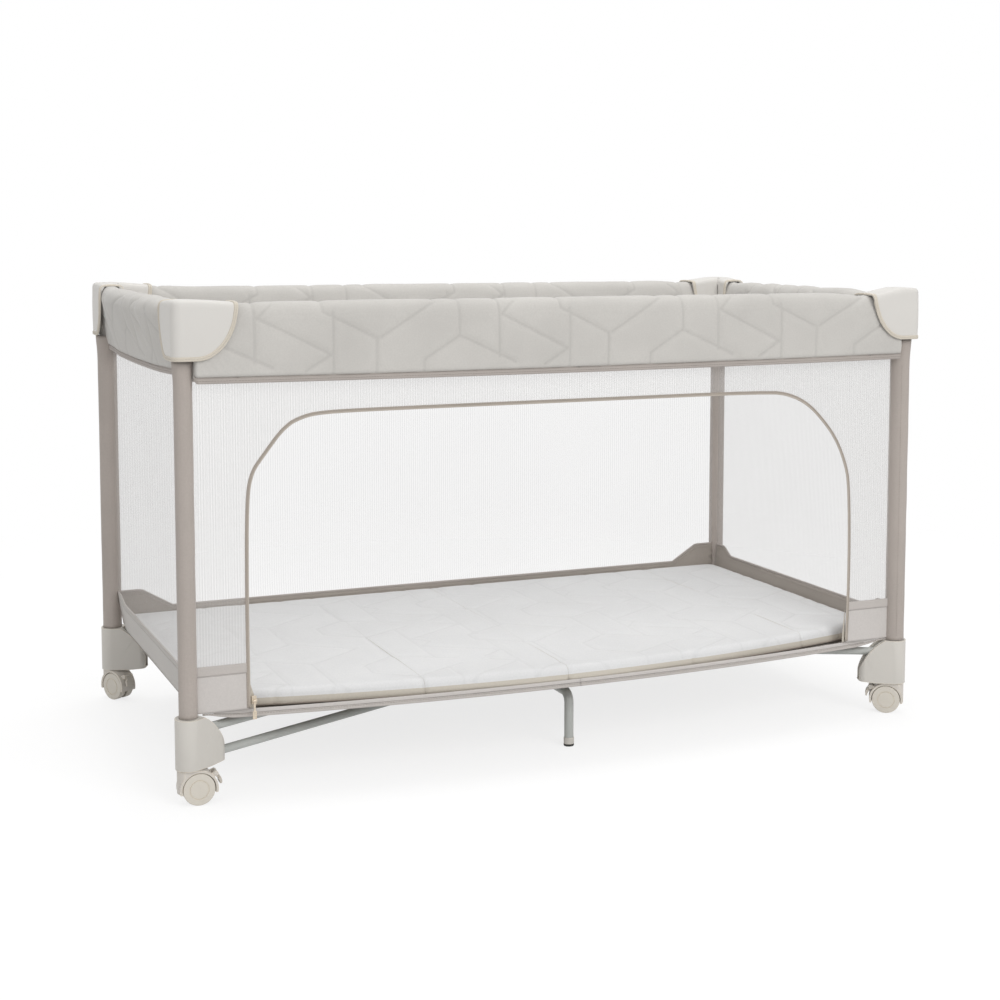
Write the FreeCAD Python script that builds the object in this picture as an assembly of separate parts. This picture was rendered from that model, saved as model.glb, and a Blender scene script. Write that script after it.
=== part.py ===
import FreeCAD, Part
import math
import os

# Folding travel cot (playpen).  X runs along the cot, Y across it (front at -Y), Z up.
# The origin is on the floor, under the middle.  All sizes are in millimetres.
#
# The frame is four posts, four two-part top rails that fold down at their middle, and four arms
# that fold up to a hub under the floor.  A second, parallel arm at two opposite corners keeps the
# hub level.  Every arm and rail has the same reach, so one fold angle serves them all.

V = FreeCAD.Vector
ORIGIN = V(0, 0, 0)
UP = V(0, 0, 1)
ACROSS = V(0, 1, 0)

# Corners, as the signs of their X and Y.
CORNERS = {"fl": (-1, -1), "fr": (1, -1), "bl": (-1, 1), "br": (1, 1)}

# Driving dimensions.
POST_X = 610.0
POST_Y = 305.0
POST_R = 12.5
POST_WALL = 1.2
POST_FOOT_Z = 77.0
POST_TOP_Z = 706.0
GAP = 0.3
PIN_R = 3.0
PIN_PLAY = 0.05
BRACKET_BASE_Z = 655.0
BRACKET_TOP_Z = POST_TOP_Z + 10.0

# Top rails: pins 14 mm above the tube axis let the two halves fold flat together.
RAIL_PIN_Z = 704.0
RAIL_DROP = 14.0
RAIL_R = 12.5
RAIL_WALL = 1.2
RAIL_PIN_X = 75.0
RAIL_PIN_Y = 55.0
RAIL_HALF_WIDTH = 14.0
RAIL_BLOCK_END = 50.0
KNUCKLE_R = 7.0
TONGUE_HALF = 6.5
CHEEK_INNER = 7.0
OPEN_PIVOT_PLAY = 0.6
BUTTON_R = 8.0
BUTTON_BACK = 28.0
BUTTON_TRAVEL = 5.0

# Floor arms, in the vertical plane from each post to the hub.
ARM_X = POST_X - RAIL_PIN_X
ARM_Y = POST_Y - RAIL_PIN_Y
ARM_LENGTH = math.hypot(ARM_X, ARM_Y)
ARM_YAW = math.degrees(math.atan2(ARM_Y, ARM_X))
ARM_R = 6.5
ARM_WALL = 1.0
EYE_R = 8.0
MAIN_PIN = (28.0, 105.5)
LOWER_PIN = (48.0, 66.5)
LOWER_ARM_CORNERS = ("fl", "br")

# Feet and casters.
FOOT_R = 19.5
FOOT_TIP_R = 13.0
FOOT_TIP = 62.0
FOOT_BASE_Z = 52.5
FOOT_TOP_Z = 127.0
FOOT_SLOT_HALF = 7.0
FOOT_SLOT_X = 18.5
FOOT_SLOT_Z = 57.5
STEM_R = 5.0
STEM_TOP_Z = 72.0
WHEEL_R = 23.5
WHEEL_INNER = 3.0
WHEEL_OUTER = 14.5
TRAIL = 12.0
HOOD_R = 28.0
HOOD_HALF = 15.0
HOOD_TOP_Z = 51.5
HOOD_BASE_Z = 17.5
CASTER_YAW = {"fl": -1.0, "fr": 146.0, "bl": -60.0, "br": 200.0}
LEVER_PIN = (37.5, 43.0)
LEVER_PIN_R = 1.5
RING_R = (13.2, 14.5)
RING_DEPTH = 0.7

# Hub and centre legs.
HUB_R = 36.0
HUB_BASE_Z = 54.0
HUB_TOP_Z = 117.0
LEG_X = 14.0
LEG_PIN_Y = 55.0
LEG_Z = 86.0
LEG_FOOT_Y = 265.0
LEG_R = 7.5
LEG_BEND_R = 16.0
LEG_TIP = 3.5

# Textiles.
COVER_HALF_LONG = 25.5
COVER_HALF_SHORT = 23.5
COVER_START = 27.0
COVER_ROUND = 8.0
COVER_CAVITY_HALF = 16.0
COVER_CAVITY_Z = (664.0, 717.5)
COVER_BOTTOM_Z = 615.0
COVER_TOP_Z = 724.0
WALL_HALF = 1.5
WALL_BOTTOM_Z = 130.0
SLEEVE_R = 15.0
SLEEVE_BOTTOM_Z = 128.0
SLEEVE_TOP_Z = 643.0
DOOR_X = 517.0
DOOR_TOP_Z = 556.0
FLOOR_Z = (119.0, 123.5)
FLOOR_CUT_R = 52.0
MATTRESS_Z = (124.0, 146.0)
MATTRESS_FOLDS = (-251.0, -18.0, 434.0)
MATTRESS_ROUND = 30.0
MATTRESS_REBATE_R = 43.0
ZIP_X = -513.5
ZIP_PIN = (-312.0, 143.0)

# Corner covers.
CAP_OUT_X = 26.0
CAP_OUT_Y = 32.0
CAP_BOTTOM_Z = 644.0
CAP_TOP_Z = 730.0
CAP_SKIN = 2.2
CAP_ROUND = 20.0
CAP_REACH_LONG = 76.0
CAP_REACH_SHORT = 64.0


def box(x0, x1, y0, y1, z0, z1):
    return Part.makeBox(x1 - x0, y1 - y0, z1 - z0, V(x0, y0, z0))


def rod(start, end, radius):
    """A round bar between two points."""
    run = end - start
    return Part.makeCylinder(radius, run.Length, start, run)


def barrel(x, z, radius, y0, y1):
    """A round bar lying along Y, centred at (x, z)."""
    return rod(V(x, y0, z), V(x, y1, z), radius)


def both_sides(x, z, radius, inner, outer):
    """Two round plates lying along Y, one on each side of the middle."""
    return [barrel(x, z, radius, inner, outer), barrel(x, z, radius, -outer, -inner)]


def fused(shapes):
    return shapes[0].multiFuse(shapes[1:]).removeSplitter()


def outline(start, steps, place):
    """A closed face.  A step is a point, or a pair of points for an arc's middle and end."""
    edges = []
    here = start
    for step in steps:
        if isinstance(step[0], tuple):
            middle, end = step
            edges.append(Part.Arc(place(here), place(middle), place(end)).toShape())
        else:
            end = step
            edges.append(Part.LineSegment(place(here), place(end)).toShape())
        here = end
    if here != start:
        edges.append(Part.LineSegment(place(here), place(start)).toShape())
    return Part.Face(Part.Wire(edges))


def upright(start, steps, y0, y1):
    """A plate drawn in X and Z, between y0 and y1."""
    face = outline(start, steps, lambda p: V(p[0], y0, p[1]))
    return face.extrude(V(0, y1 - y0, 0))


def level(start, steps, z0, z1):
    """A plate drawn in X and Y, between z0 and z1."""
    face = outline(start, steps, lambda p: V(p[0], p[1], z0))
    return face.extrude(V(0, 0, z1 - z0))


def swapped(shape):
    """Swap X and Y, so that what runs along X runs along Y."""
    return shape.mirror(ORIGIN, V(1, -1, 0).normalize())


def moved(shape, x, y, z):
    copy = shape.copy()
    copy.translate(V(x, y, z))
    return copy


def turned(shape, degrees):
    copy = shape.copy()
    copy.rotate(ORIGIN, UP, degrees)
    return copy


def at_corner(shape, corner):
    """Place a shape drawn about a post, with X and Y pointing inward."""
    side_x, side_y = CORNERS[corner]
    if side_x > 0:
        shape = shape.mirror(ORIGIN, V(1, 0, 0))
    if side_y > 0:
        shape = shape.mirror(ORIGIN, V(0, 1, 0))
    return moved(shape, side_x * POST_X, side_y * POST_Y, 0)


def on_arm_line(shape, corner):
    """Place a shape drawn with X running from the post to the hub."""
    return at_corner(turned(shape, ARM_YAW), corner)


def post():
    outside = rod(V(0, 0, POST_FOOT_Z), V(0, 0, POST_TOP_Z), POST_R)
    inside = rod(V(0, 0, POST_FOOT_Z), V(0, 0, POST_TOP_Z), POST_R - POST_WALL)
    return outside.cut(inside)


def bracket_arm(pin):
    """One arm of the corner bracket: a bar with a clevis and its pin at the end."""
    low = RAIL_PIN_Z - KNUCKLE_R
    half = RAIL_HALF_WIDTH
    bar = box(0, pin - 9, -half, half, low, BRACKET_TOP_Z)
    ears = both_sides(pin, RAIL_PIN_Z, KNUCKLE_R, CHEEK_INNER, half)
    necks = [
        box(pin - 10, pin, CHEEK_INNER, half, low, RAIL_PIN_Z + KNUCKLE_R),
        box(pin - 10, pin, -half, -CHEEK_INNER, low, RAIL_PIN_Z + KNUCKLE_R),
    ]
    pivot = barrel(pin, RAIL_PIN_Z, PIN_R, 1 - half, half - 1)
    return fused([bar, pivot] + ears + necks)


def corner_bracket():
    socket = rod(V(0, 0, BRACKET_BASE_Z), V(0, 0, BRACKET_TOP_Z), POST_R + 6)
    body = fused([socket, bracket_arm(RAIL_PIN_X), swapped(bracket_arm(RAIL_PIN_Y))])
    return body.cut(rod(V(0, 0, BRACKET_BASE_Z - 15), V(0, 0, POST_TOP_Z), POST_R + PIN_PLAY))


def cap_flap(outer, out_along, reach):
    """A corner cover's channel over one rail, closed above and open below."""
    low = CAP_BOTTOM_Z
    return upright(
        (-out_along, low),
        [(18, low), ((0.73 * reach, low + 22.5), (reach, low + 72)), (reach, CAP_TOP_Z),
         (-out_along, CAP_TOP_Z)],
        -outer,
        outer,
    )


def corner_cover():
    long_side = cap_flap(CAP_OUT_Y, CAP_OUT_X, CAP_REACH_LONG)
    short_side = swapped(cap_flap(CAP_OUT_X, CAP_OUT_Y, CAP_REACH_SHORT))
    body = fused([long_side, short_side])
    edge = [
        e for e in body.Edges
        if abs(e.BoundBox.XMax + CAP_OUT_X) < 0.01
        and abs(e.BoundBox.YMax + CAP_OUT_Y) < 0.01
        and e.Length > 50
    ]
    body = body.makeFillet(CAP_ROUND, edge)
    inner_x = CAP_OUT_X - CAP_SKIN
    inner_y = CAP_OUT_Y - CAP_SKIN
    top = CAP_TOP_Z - CAP_SKIN
    hollow = fused([
        box(-inner_x, 100, -inner_y, inner_y, 600, top),
        box(-inner_x, inner_x, -inner_y, 100, 600, top),
    ])
    corner = [
        e for e in hollow.Edges
        if abs(e.BoundBox.XMax + inner_x) < 0.01
        and abs(e.BoundBox.YMax + inner_y) < 0.01
        and e.Length > 50
    ]
    hollow = hollow.makeFillet(CAP_ROUND - CAP_SKIN, corner)
    boss = rod(V(0, 0, BRACKET_TOP_Z), V(0, 0, CAP_TOP_Z - 1), 9)
    return fused([body.cut(hollow), boss])


def half_rail(span, forked):
    """Half a rail, from its corner pin at the origin to the middle pin at X = span."""
    low = -RAIL_DROP - RAIL_R
    half = RAIL_HALF_WIDTH
    corner_block = box(8, RAIL_BLOCK_END, -half, half, low, -1)
    middle_block = box(span - RAIL_BLOCK_END, span - 8, -half, half, low, -1)
    tongue = fused([
        barrel(0, 0, KNUCKLE_R, -TONGUE_HALF, TONGUE_HALF),
        box(0, 9, -TONGUE_HALF, TONGUE_HALF, -KNUCKLE_R, -1),
    ])
    corner_end = fused([corner_block, tongue]).cut(barrel(0, 0, PIN_R + PIN_PLAY, -20, 20))
    if forked:
        ears = both_sides(span, 0, KNUCKLE_R, CHEEK_INNER, half)
        necks = [
            box(span - 9, span, CHEEK_INNER, half, -KNUCKLE_R, -1),
            box(span - 9, span, -half, -CHEEK_INNER, -KNUCKLE_R, -1),
        ]
        pivot = barrel(span, 0, PIN_R, 1 - half, half - 1)
        well_x = span - BUTTON_BACK
        well = rod(V(well_x, 0, low - 1), V(well_x, 0, -10), BUTTON_R + 0.1)
        middle_end = fused([middle_block, pivot] + ears + necks).cut(well)
    else:
        eye = fused([
            barrel(span, 0, KNUCKLE_R, -TONGUE_HALF, TONGUE_HALF),
            box(span - 9, span, -TONGUE_HALF, TONGUE_HALF, -KNUCKLE_R, -1),
        ])
        bore = barrel(span, 0, PIN_R + OPEN_PIVOT_PLAY, -20, 20)
        middle_end = fused([middle_block, eye]).cut(bore)
    ends = V(RAIL_BLOCK_END, 0, -RAIL_DROP), V(span - RAIL_BLOCK_END, 0, -RAIL_DROP)
    tube = rod(*ends, RAIL_R).cut(rod(*ends, RAIL_R - RAIL_WALL))
    return Part.makeCompound([corner_end, tube, middle_end])


def release_button(span):
    """The latch button under the middle of a rail, in the same frame as half_rail."""
    x = span - BUTTON_BACK
    body = rod(V(x, 0, -32), V(x, 0, -10.5 - BUTTON_TRAVEL), BUTTON_R)
    return body.makeChamfer(1.0, [body.Edges[2]])


def floor_arm(pin):
    """A tube with an eye at each end, along X, from the foot's pin to the hub's."""
    near, z = pin
    far = near + ARM_LENGTH
    ends = V(near + 14, 0, z), V(far - 14, 0, z)
    tube = rod(*ends, ARM_R).cut(rod(*ends, ARM_R - ARM_WALL))
    pieces = [tube]
    for x, inward in ((near, 1), (far, -1)):
        eye = barrel(x, z, EYE_R, -TONGUE_HALF, TONGUE_HALF)
        plug = rod(V(x, 0, z), V(x + inward * 14, 0, z), ARM_R)
        pieces.append(fused([eye, plug]).cut(barrel(x, z, PIN_R + PIN_PLAY, -20, 20)))
    return Part.makeCompound(pieces)


def foot(corner):
    """The moulded foot: a socket for the post and a forked fin for the arms."""
    low = FOOT_BASE_Z + 2
    side = upright(
        (-FOOT_R - 1, FOOT_BASE_Z),
        [(30, FOOT_BASE_Z), (FOOT_TIP - 5, low), ((FOOT_TIP - 1.5, low + 1.5), (FOOT_TIP, low + 5)),
         (FOOT_TIP, 66), ((FOOT_TIP - 15, 100), (18, FOOT_TOP_Z)), (-FOOT_R - 1, FOOT_TOP_Z)],
        -30,
        30,
    )
    tip = FOOT_TIP - FOOT_TIP_R
    lean = math.acos((FOOT_R - FOOT_TIP_R) / tip)
    cheek = (math.cos(lean), math.sin(lean))
    plan = level(
        (FOOT_R * cheek[0], FOOT_R * cheek[1]),
        [((-FOOT_R, 0), (FOOT_R * cheek[0], -FOOT_R * cheek[1])),
         (tip + FOOT_TIP_R * cheek[0], -FOOT_TIP_R * cheek[1]),
         ((FOOT_TIP, 0), (tip + FOOT_TIP_R * cheek[0], FOOT_TIP_R * cheek[1]))],
        FOOT_BASE_Z,
        FOOT_TOP_Z,
    )
    body = side.common(plan)
    above = FOOT_TOP_Z + 10
    slot = box(FOOT_SLOT_X, FOOT_TIP + 10, -FOOT_SLOT_HALF, FOOT_SLOT_HALF, FOOT_SLOT_Z, above)
    socket = rod(V(0, 0, POST_FOOT_Z), V(0, 0, above), POST_R + PIN_PLAY)
    stem_hole = rod(V(0, 0, FOOT_BASE_Z - 2), V(0, 0, STEM_TOP_Z + 2), STEM_R + PIN_PLAY)
    body = body.cut(Part.makeCompound([slot, socket, stem_hole]))
    pins = [barrel(*MAIN_PIN, PIN_R, -13, 13)]
    if corner in LOWER_ARM_CORNERS:
        pins.append(barrel(*LOWER_PIN, PIN_R, -12, 12))
    return fused([body] + pins)


def hub():
    """The middle of the floor: clevises for the arms and the two centre legs."""
    solids = [rod(V(0, 0, HUB_BASE_Z), V(0, 0, HUB_TOP_Z), HUB_R)]
    slots = []
    pins = []
    for corner in CORNERS:
        pivots = [(MAIN_PIN, 45)]
        if corner in LOWER_ARM_CORNERS:
            pivots.append((LOWER_PIN, 30))
        for (near, z), root in pivots:
            x = near + ARM_LENGTH
            bar = box(x - 7, x + root, -10, 10, z - 8.5, z + 9.5)
            gap = box(x - 20, x + 9, -7, 7, z - 12, z + 14)
            solids.append(on_arm_line(bar, corner))
            slots.append(on_arm_line(gap, corner))
            pins.append(on_arm_line(barrel(x, z, PIN_R, -9, 9), corner))
    for side in (1, -1):
        solids.append(leg_clevis(side))
        slots.append(leg_slot(side))
        pins.append(leg_pin(side))
    return fused([fused(solids).cut(Part.makeCompound(slots))] + pins)


def for_leg(shape, side):
    """Turn a shape drawn for the front leg to the front (1) or the back (-1)."""
    return shape if side > 0 else turned(shape, 180)


def leg_clevis(side):
    bar = box(LEG_X - 10.5, LEG_X + 10.5, -LEG_PIN_Y, -20, LEG_Z - 8.5, LEG_Z + 8.5)
    nose = rod(V(LEG_X - 10.5, -LEG_PIN_Y, LEG_Z), V(LEG_X + 10.5, -LEG_PIN_Y, LEG_Z), 8.5)
    return for_leg(fused([bar, nose]), side)


def leg_slot(side):
    gap = box(LEG_X - 6.4, LEG_X + 6.4, -LEG_PIN_Y - 20, -LEG_PIN_Y + 9.5, LEG_Z - 20, LEG_Z + 20)
    return for_leg(gap, side)


def leg_pin(side):
    reach = V(9.5, 0, 0)
    middle = V(LEG_X, -LEG_PIN_Y, LEG_Z)
    return for_leg(rod(middle - reach, middle + reach, PIN_R), side)


def centre_leg(side):
    """A bent tube from the hub to the floor, with a rubber tip."""
    eye_width = V(6, 0, 0)
    pin = V(LEG_X, -LEG_PIN_Y, LEG_Z)
    start = pin + V(0, -11, 0)
    bend_in = V(LEG_X, -LEG_FOOT_Y + LEG_BEND_R, LEG_Z)
    bend_out = V(LEG_X, -LEG_FOOT_Y, LEG_Z - LEG_BEND_R)
    turn = LEG_BEND_R * (1 - math.sqrt(0.5))
    bend_mid = V(LEG_X, -LEG_FOOT_Y + turn, LEG_Z - turn)
    path = Part.Wire([
        Part.LineSegment(start, bend_in).toShape(),
        Part.Arc(bend_in, bend_mid, bend_out).toShape(),
        Part.LineSegment(bend_out, V(LEG_X, -LEG_FOOT_Y, LEG_TIP)).toShape(),
    ])
    section = Part.Wire([Part.Circle(start, V(0, -1, 0), LEG_R).toShape()])
    tube = path.makePipeShell([section], True, False)
    eye = rod(pin - eye_width, pin + eye_width, EYE_R)
    neck = box(LEG_X - 6, LEG_X + 6, -LEG_PIN_Y - 12, -LEG_PIN_Y, LEG_Z - 6, LEG_Z + 6)
    bore = rod(pin - 2 * eye_width, pin + 2 * eye_width, PIN_R + PIN_PLAY)
    body = fused([tube, eye, neck]).cut(bore)
    tip = rod(V(LEG_X, -LEG_FOOT_Y, 0), V(LEG_X, -LEG_FOOT_Y, LEG_TIP), LEG_R + 0.3)
    return for_leg(Part.makeCompound([body, tip]), side)


def caster_hood():
    """The fork: a round head under the foot, a web between the wheels and a fender over them."""
    head = rod(V(0, 0, HOOD_BASE_Z), V(0, 0, HOOD_TOP_Z), 17.5)
    fender = barrel(TRAIL, WHEEL_R, HOOD_R, -HOOD_HALF, HOOD_HALF)
    slab = box(-30, 60, -HOOD_HALF, HOOD_HALF, HOOD_BASE_Z, HOOD_TOP_Z)
    body = fused([head, fender]).common(slab)
    cavity = both_sides(TRAIL, WHEEL_R, WHEEL_R + 1.2, WHEEL_INNER - 0.5, 20)
    body = body.cut(Part.makeCompound(cavity))
    body = body.cut(barrel(TRAIL, WHEEL_R, PIN_R + PIN_PLAY, -10, 10))
    ears = both_sides(*LEVER_PIN, 3.6, 6.4, 9)
    roots = [
        upright((31.5, 37), [(38, 40.5), (35.5, 46), (29.5, 44)], 6.4, 9),
        upright((31.5, 37), [(38, 40.5), (35.5, 46), (29.5, 44)], -9, -6.4),
    ]
    pivot = barrel(*LEVER_PIN, LEVER_PIN_R, -8, 8)
    stem = rod(V(0, 0, HOOD_TOP_Z - 1), V(0, 0, STEM_TOP_Z), STEM_R)
    return fused([body, pivot, stem] + ears + roots)


def brake_lever():
    """The pedal behind the fender, which presses on the wheels."""
    knuckle = barrel(*LEVER_PIN, 3.2, -6, 6)
    neck = upright((36.5, 40), [(41, 43), (44, 38.5), (40.5, 35)], -6, 6)
    pedal = upright(
        (40.5, 35),
        [(44, 38.5), ((46, 34), (46.3, 28)), (43.5, 27.5), ((42.8, 31.5), (40.5, 35))],
        -9,
        9,
    )
    bore = barrel(*LEVER_PIN, LEVER_PIN_R + PIN_PLAY, -12, 12)
    return fused([knuckle, neck, pedal]).cut(bore)


def wheel_pair():
    """Two discs on one axle, each with a ring groove in its outer face."""
    discs = []
    for side in (1, -1):
        disc = barrel(TRAIL, WHEEL_R, WHEEL_R, side * WHEEL_INNER, side * WHEEL_OUTER)
        disc = disc.makeFillet(1.5, [e for e in disc.Edges if isinstance(e.Curve, Part.Circle)])
        face = side * (WHEEL_OUTER - RING_DEPTH)
        groove = barrel(TRAIL, WHEEL_R, RING_R[1], face, side * 20)
        island = barrel(TRAIL, WHEEL_R, RING_R[0], face - side, side * 21)
        discs.append(disc.cut(groove.cut(island)))
    axle = barrel(TRAIL, WHEEL_R, PIN_R, -WHEEL_INNER - 1, WHEEL_INNER + 1)
    return fused(discs + [axle])


def on_caster(shape, corner):
    """Place a shape drawn about the swivel axis, with X pointing along the trail."""
    side_x, side_y = CORNERS[corner]
    return moved(turned(shape, CASTER_YAW[corner]), side_x * POST_X, side_y * POST_Y, 0)


def door_opening(length):
    """The arched hole in the front wall, open at the bottom."""
    middle = length / 2
    left = middle - DOOR_X
    right = middle + DOOR_X
    shoulder = DOOR_TOP_Z - 131
    return upright(
        (left, 100),
        [(left, shoulder), ((left + 31, DOOR_TOP_Z - 48), (left + 112, DOOR_TOP_Z)),
         (right - 112, DOOR_TOP_Z), ((right - 31, DOOR_TOP_Z - 48), (right, shoulder)),
         (right, 100)],
        -10,
        10,
    )


def side_textile(length, half, has_door):
    """One side: a post sleeve, the mesh wall and the padded cover round the rail.

    It is drawn along X from its own post, at the origin, to the next post.
    """
    sleeve = rod(V(0, 0, SLEEVE_BOTTOM_Z), V(0, 0, SLEEVE_TOP_Z), SLEEVE_R)
    wall = box(SLEEVE_R - 1.5, length - SLEEVE_R - 0.5, -WALL_HALF, WALL_HALF,
               WALL_BOTTOM_Z, COVER_BOTTOM_Z + 1)
    if has_door:
        wall = wall.cut(door_opening(length))
    pad = box(COVER_START, length - COVER_START, -half, half, COVER_BOTTOM_Z, COVER_TOP_Z)
    long_edges = [e for e in pad.Edges if e.BoundBox.XLength > 100]
    pad = pad.makeFillet(COVER_ROUND, long_edges)
    pad = pad.cut(box(0, length, -COVER_CAVITY_HALF, COVER_CAVITY_HALF, *COVER_CAVITY_Z))
    post_hole = rod(V(0, 0, SLEEVE_BOTTOM_Z - 20), V(0, 0, SLEEVE_TOP_Z + 20), POST_R + 0.5)
    return fused([sleeve, wall, pad]).cut(post_hole)


def floor_panel():
    sides = POST_X - 7
    back = POST_Y - 6
    z0, z1 = FLOOR_Z
    plate = level(
        (-sides, back),
        [(-sides, -285), (-520, -297), ((0, -336), (520, -297)), (sides, -285), (sides, back)],
        z0,
        z1,
    )
    posts = [
        rod(V(x * POST_X, y * POST_Y, z0 - 10), V(x * POST_X, y * POST_Y, z1 + 10), FLOOR_CUT_R)
        for x, y in CORNERS.values()
    ]
    return plate.cut(Part.makeCompound(posts))


def mattress():
    """The folding mattress, cut into its four panels, from left to right.

    Its two back corners are thinned underneath, where they lie over the feet.
    """
    side = POST_X - 12
    back = POST_Y - 9
    z0, z1 = MATTRESS_Z
    round_in = MATTRESS_ROUND
    knee = round_in * (1 - math.sqrt(0.5))
    whole = level(
        (-side, back - round_in),
        [(-side, -235), (-522, -272), ((0, -334), (522, -272)), (side, -235),
         (side, back - round_in),
         ((side - knee, back - knee), (side - round_in, back)),
         (round_in - side, back),
         ((knee - side, back - knee), (-side, back - round_in))],
        z0,
        z1,
    )
    over_foot = FOOT_TOP_Z + GAP
    rebates = [
        rod(V(x * POST_X, POST_Y, z0 - 1), V(x * POST_X, POST_Y, over_foot), MATTRESS_REBATE_R)
        for x in (-1, 1)
    ]
    whole = whole.cut(Part.makeCompound(rebates))
    cuts = (-side - 5,) + MATTRESS_FOLDS + (side + 5,)
    return [
        whole.common(box(left + GAP / 2, right - GAP / 2, -400, 400, z0, z1))
        for left, right in zip(cuts, cuts[1:])
    ]


def zip_slider():
    y, z = ZIP_PIN
    body = box(ZIP_X - 3.5, ZIP_X + 3.5, -309.8, -306.8, z - 5, z + 7)
    ears = [
        box(ZIP_X - 3.5, ZIP_X - 2.5, y - 1.2, -309, z - 1.5, z + 1.5),
        box(ZIP_X + 2.5, ZIP_X + 3.5, y - 1.2, -309, z - 1.5, z + 1.5),
    ]
    pivot = rod(V(ZIP_X - 3, y, z), V(ZIP_X + 3, y, z), 0.8)
    return fused([body, pivot] + ears)


def zip_pull():
    y, z = ZIP_PIN
    eye = rod(V(ZIP_X - 2.1, y, z), V(ZIP_X + 2.1, y, z), 2.0)
    stem = box(ZIP_X - 1.5, ZIP_X + 1.5, y - 0.7, y + 0.7, z - 18, z)
    tab = box(ZIP_X - 3, ZIP_X + 3, y - 0.7, y + 0.7, z - 27, z - 15)
    bore = rod(V(ZIP_X - 5, y, z), V(ZIP_X + 5, y, z), 0.9)
    return fused([eye, stem, tab]).cut(bore)


def write(name, shape):
    shape.exportStep("parts/" + name + ".step")


def write_corners():
    for corner in CORNERS:
        write("post_" + corner, at_corner(post(), corner))
        write("corner_bracket_" + corner, at_corner(corner_bracket(), corner))
        write("corner_cover_" + corner, at_corner(corner_cover(), corner))
        write("foot_" + corner, on_arm_line(foot(corner), corner))
        write("arm_" + corner, on_arm_line(floor_arm(MAIN_PIN), corner))
        write("caster_" + corner, on_caster(caster_hood(), corner))
        write("wheels_" + corner, on_caster(wheel_pair(), corner))
        write("brake_lever_" + corner, on_caster(brake_lever(), corner))
    for corner in LOWER_ARM_CORNERS:
        write("lower_arm_" + corner, on_arm_line(floor_arm(LOWER_PIN), corner))


def write_rails():
    """Left and front halves carry the fork, the pin and the latch button."""
    words = {-1: ("left", "front"), 1: ("right", "back")}
    for corner, (side_x, side_y) in CORNERS.items():
        across, along = words[side_y][1], words[side_x][0]
        long_half = moved(half_rail(ARM_X, side_x < 0), RAIL_PIN_X, 0, RAIL_PIN_Z)
        write("rail_%s_%s" % (across, along), at_corner(long_half, corner))
        short_half = moved(swapped(half_rail(ARM_Y, side_y < 0)), 0, RAIL_PIN_Y, RAIL_PIN_Z)
        write("rail_%s_%s" % (along, across), at_corner(short_half, corner))
        if side_x < 0:
            button = moved(release_button(ARM_X), RAIL_PIN_X, 0, RAIL_PIN_Z)
            write("button_" + across, at_corner(button, corner))
        if side_y < 0:
            button = moved(swapped(release_button(ARM_Y)), 0, RAIL_PIN_Y, RAIL_PIN_Z)
            write("button_" + along, at_corner(button, corner))


def write_textiles():
    front = side_textile(2 * POST_X, COVER_HALF_LONG, True)
    back = side_textile(2 * POST_X, COVER_HALF_LONG, False)
    end = side_textile(2 * POST_Y, COVER_HALF_SHORT, False)
    write("side_front", moved(front, -POST_X, -POST_Y, 0))
    write("side_right", moved(turned(end, 90), POST_X, -POST_Y, 0))
    write("side_back", moved(turned(back, 180), POST_X, POST_Y, 0))
    write("side_left", moved(turned(end, 270), -POST_X, POST_Y, 0))
    write("floor", floor_panel())
    for number, panel in enumerate(mattress(), 1):
        write("mattress_%d" % number, panel)
    write("zip_slider", zip_slider())
    write("zip_pull", zip_pull())


os.makedirs("parts", exist_ok=True)
write_corners()
write_rails()
write_textiles()
write("hub", hub())
write("centre_leg_front", centre_leg(1))
write("centre_leg_back", centre_leg(-1))
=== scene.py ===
import math

import bpy
import numpy as np
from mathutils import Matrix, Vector
from mathutils.geometry import delaunay_2d_cdt

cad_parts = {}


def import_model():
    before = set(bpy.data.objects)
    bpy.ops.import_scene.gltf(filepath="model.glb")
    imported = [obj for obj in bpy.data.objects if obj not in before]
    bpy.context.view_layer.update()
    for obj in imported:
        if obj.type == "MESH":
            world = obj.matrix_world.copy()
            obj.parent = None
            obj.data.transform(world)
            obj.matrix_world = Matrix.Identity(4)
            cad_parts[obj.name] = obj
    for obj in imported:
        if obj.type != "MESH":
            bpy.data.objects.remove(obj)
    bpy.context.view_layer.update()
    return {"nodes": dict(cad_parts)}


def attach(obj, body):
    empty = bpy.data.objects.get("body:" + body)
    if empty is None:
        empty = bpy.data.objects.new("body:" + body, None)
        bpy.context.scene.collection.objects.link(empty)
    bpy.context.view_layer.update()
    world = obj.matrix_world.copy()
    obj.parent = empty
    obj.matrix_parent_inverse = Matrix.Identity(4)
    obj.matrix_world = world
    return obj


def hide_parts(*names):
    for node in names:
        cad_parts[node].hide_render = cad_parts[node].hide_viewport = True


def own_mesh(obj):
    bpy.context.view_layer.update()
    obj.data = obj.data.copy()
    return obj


# Looks for the folding travel cot.  Metres, X along the cot, Y across it (front at -Y), Z up.

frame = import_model()

POST_X = 0.61
POST_Y = 0.305
CORNERS = {"fl": (-1, -1), "fr": (1, -1), "bl": (-1, 1), "br": (1, 1)}
COARSE = 1.0

# Each side: its own post, the outward direction, the way it runs from that post, its length and
# the two half rails it passes.
SIDES = {
    "front": ("fl", (0, -1), (1, 0), 2 * POST_X, ("rail_front_left", "rail_front_right")),
    "right": ("fr", (1, 0), (0, 1), 2 * POST_Y, ("rail_right_front", "rail_right_back")),
    "back": ("br", (0, 1), (-1, 0), 2 * POST_X, ("rail_back_right", "rail_back_left")),
    "left": ("bl", (-1, 0), (0, -1), 2 * POST_Y, ("rail_left_back", "rail_left_front")),
}

NEXT_SIDE = {"front": "right", "right": "back", "back": "left", "left": "front"}

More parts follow.
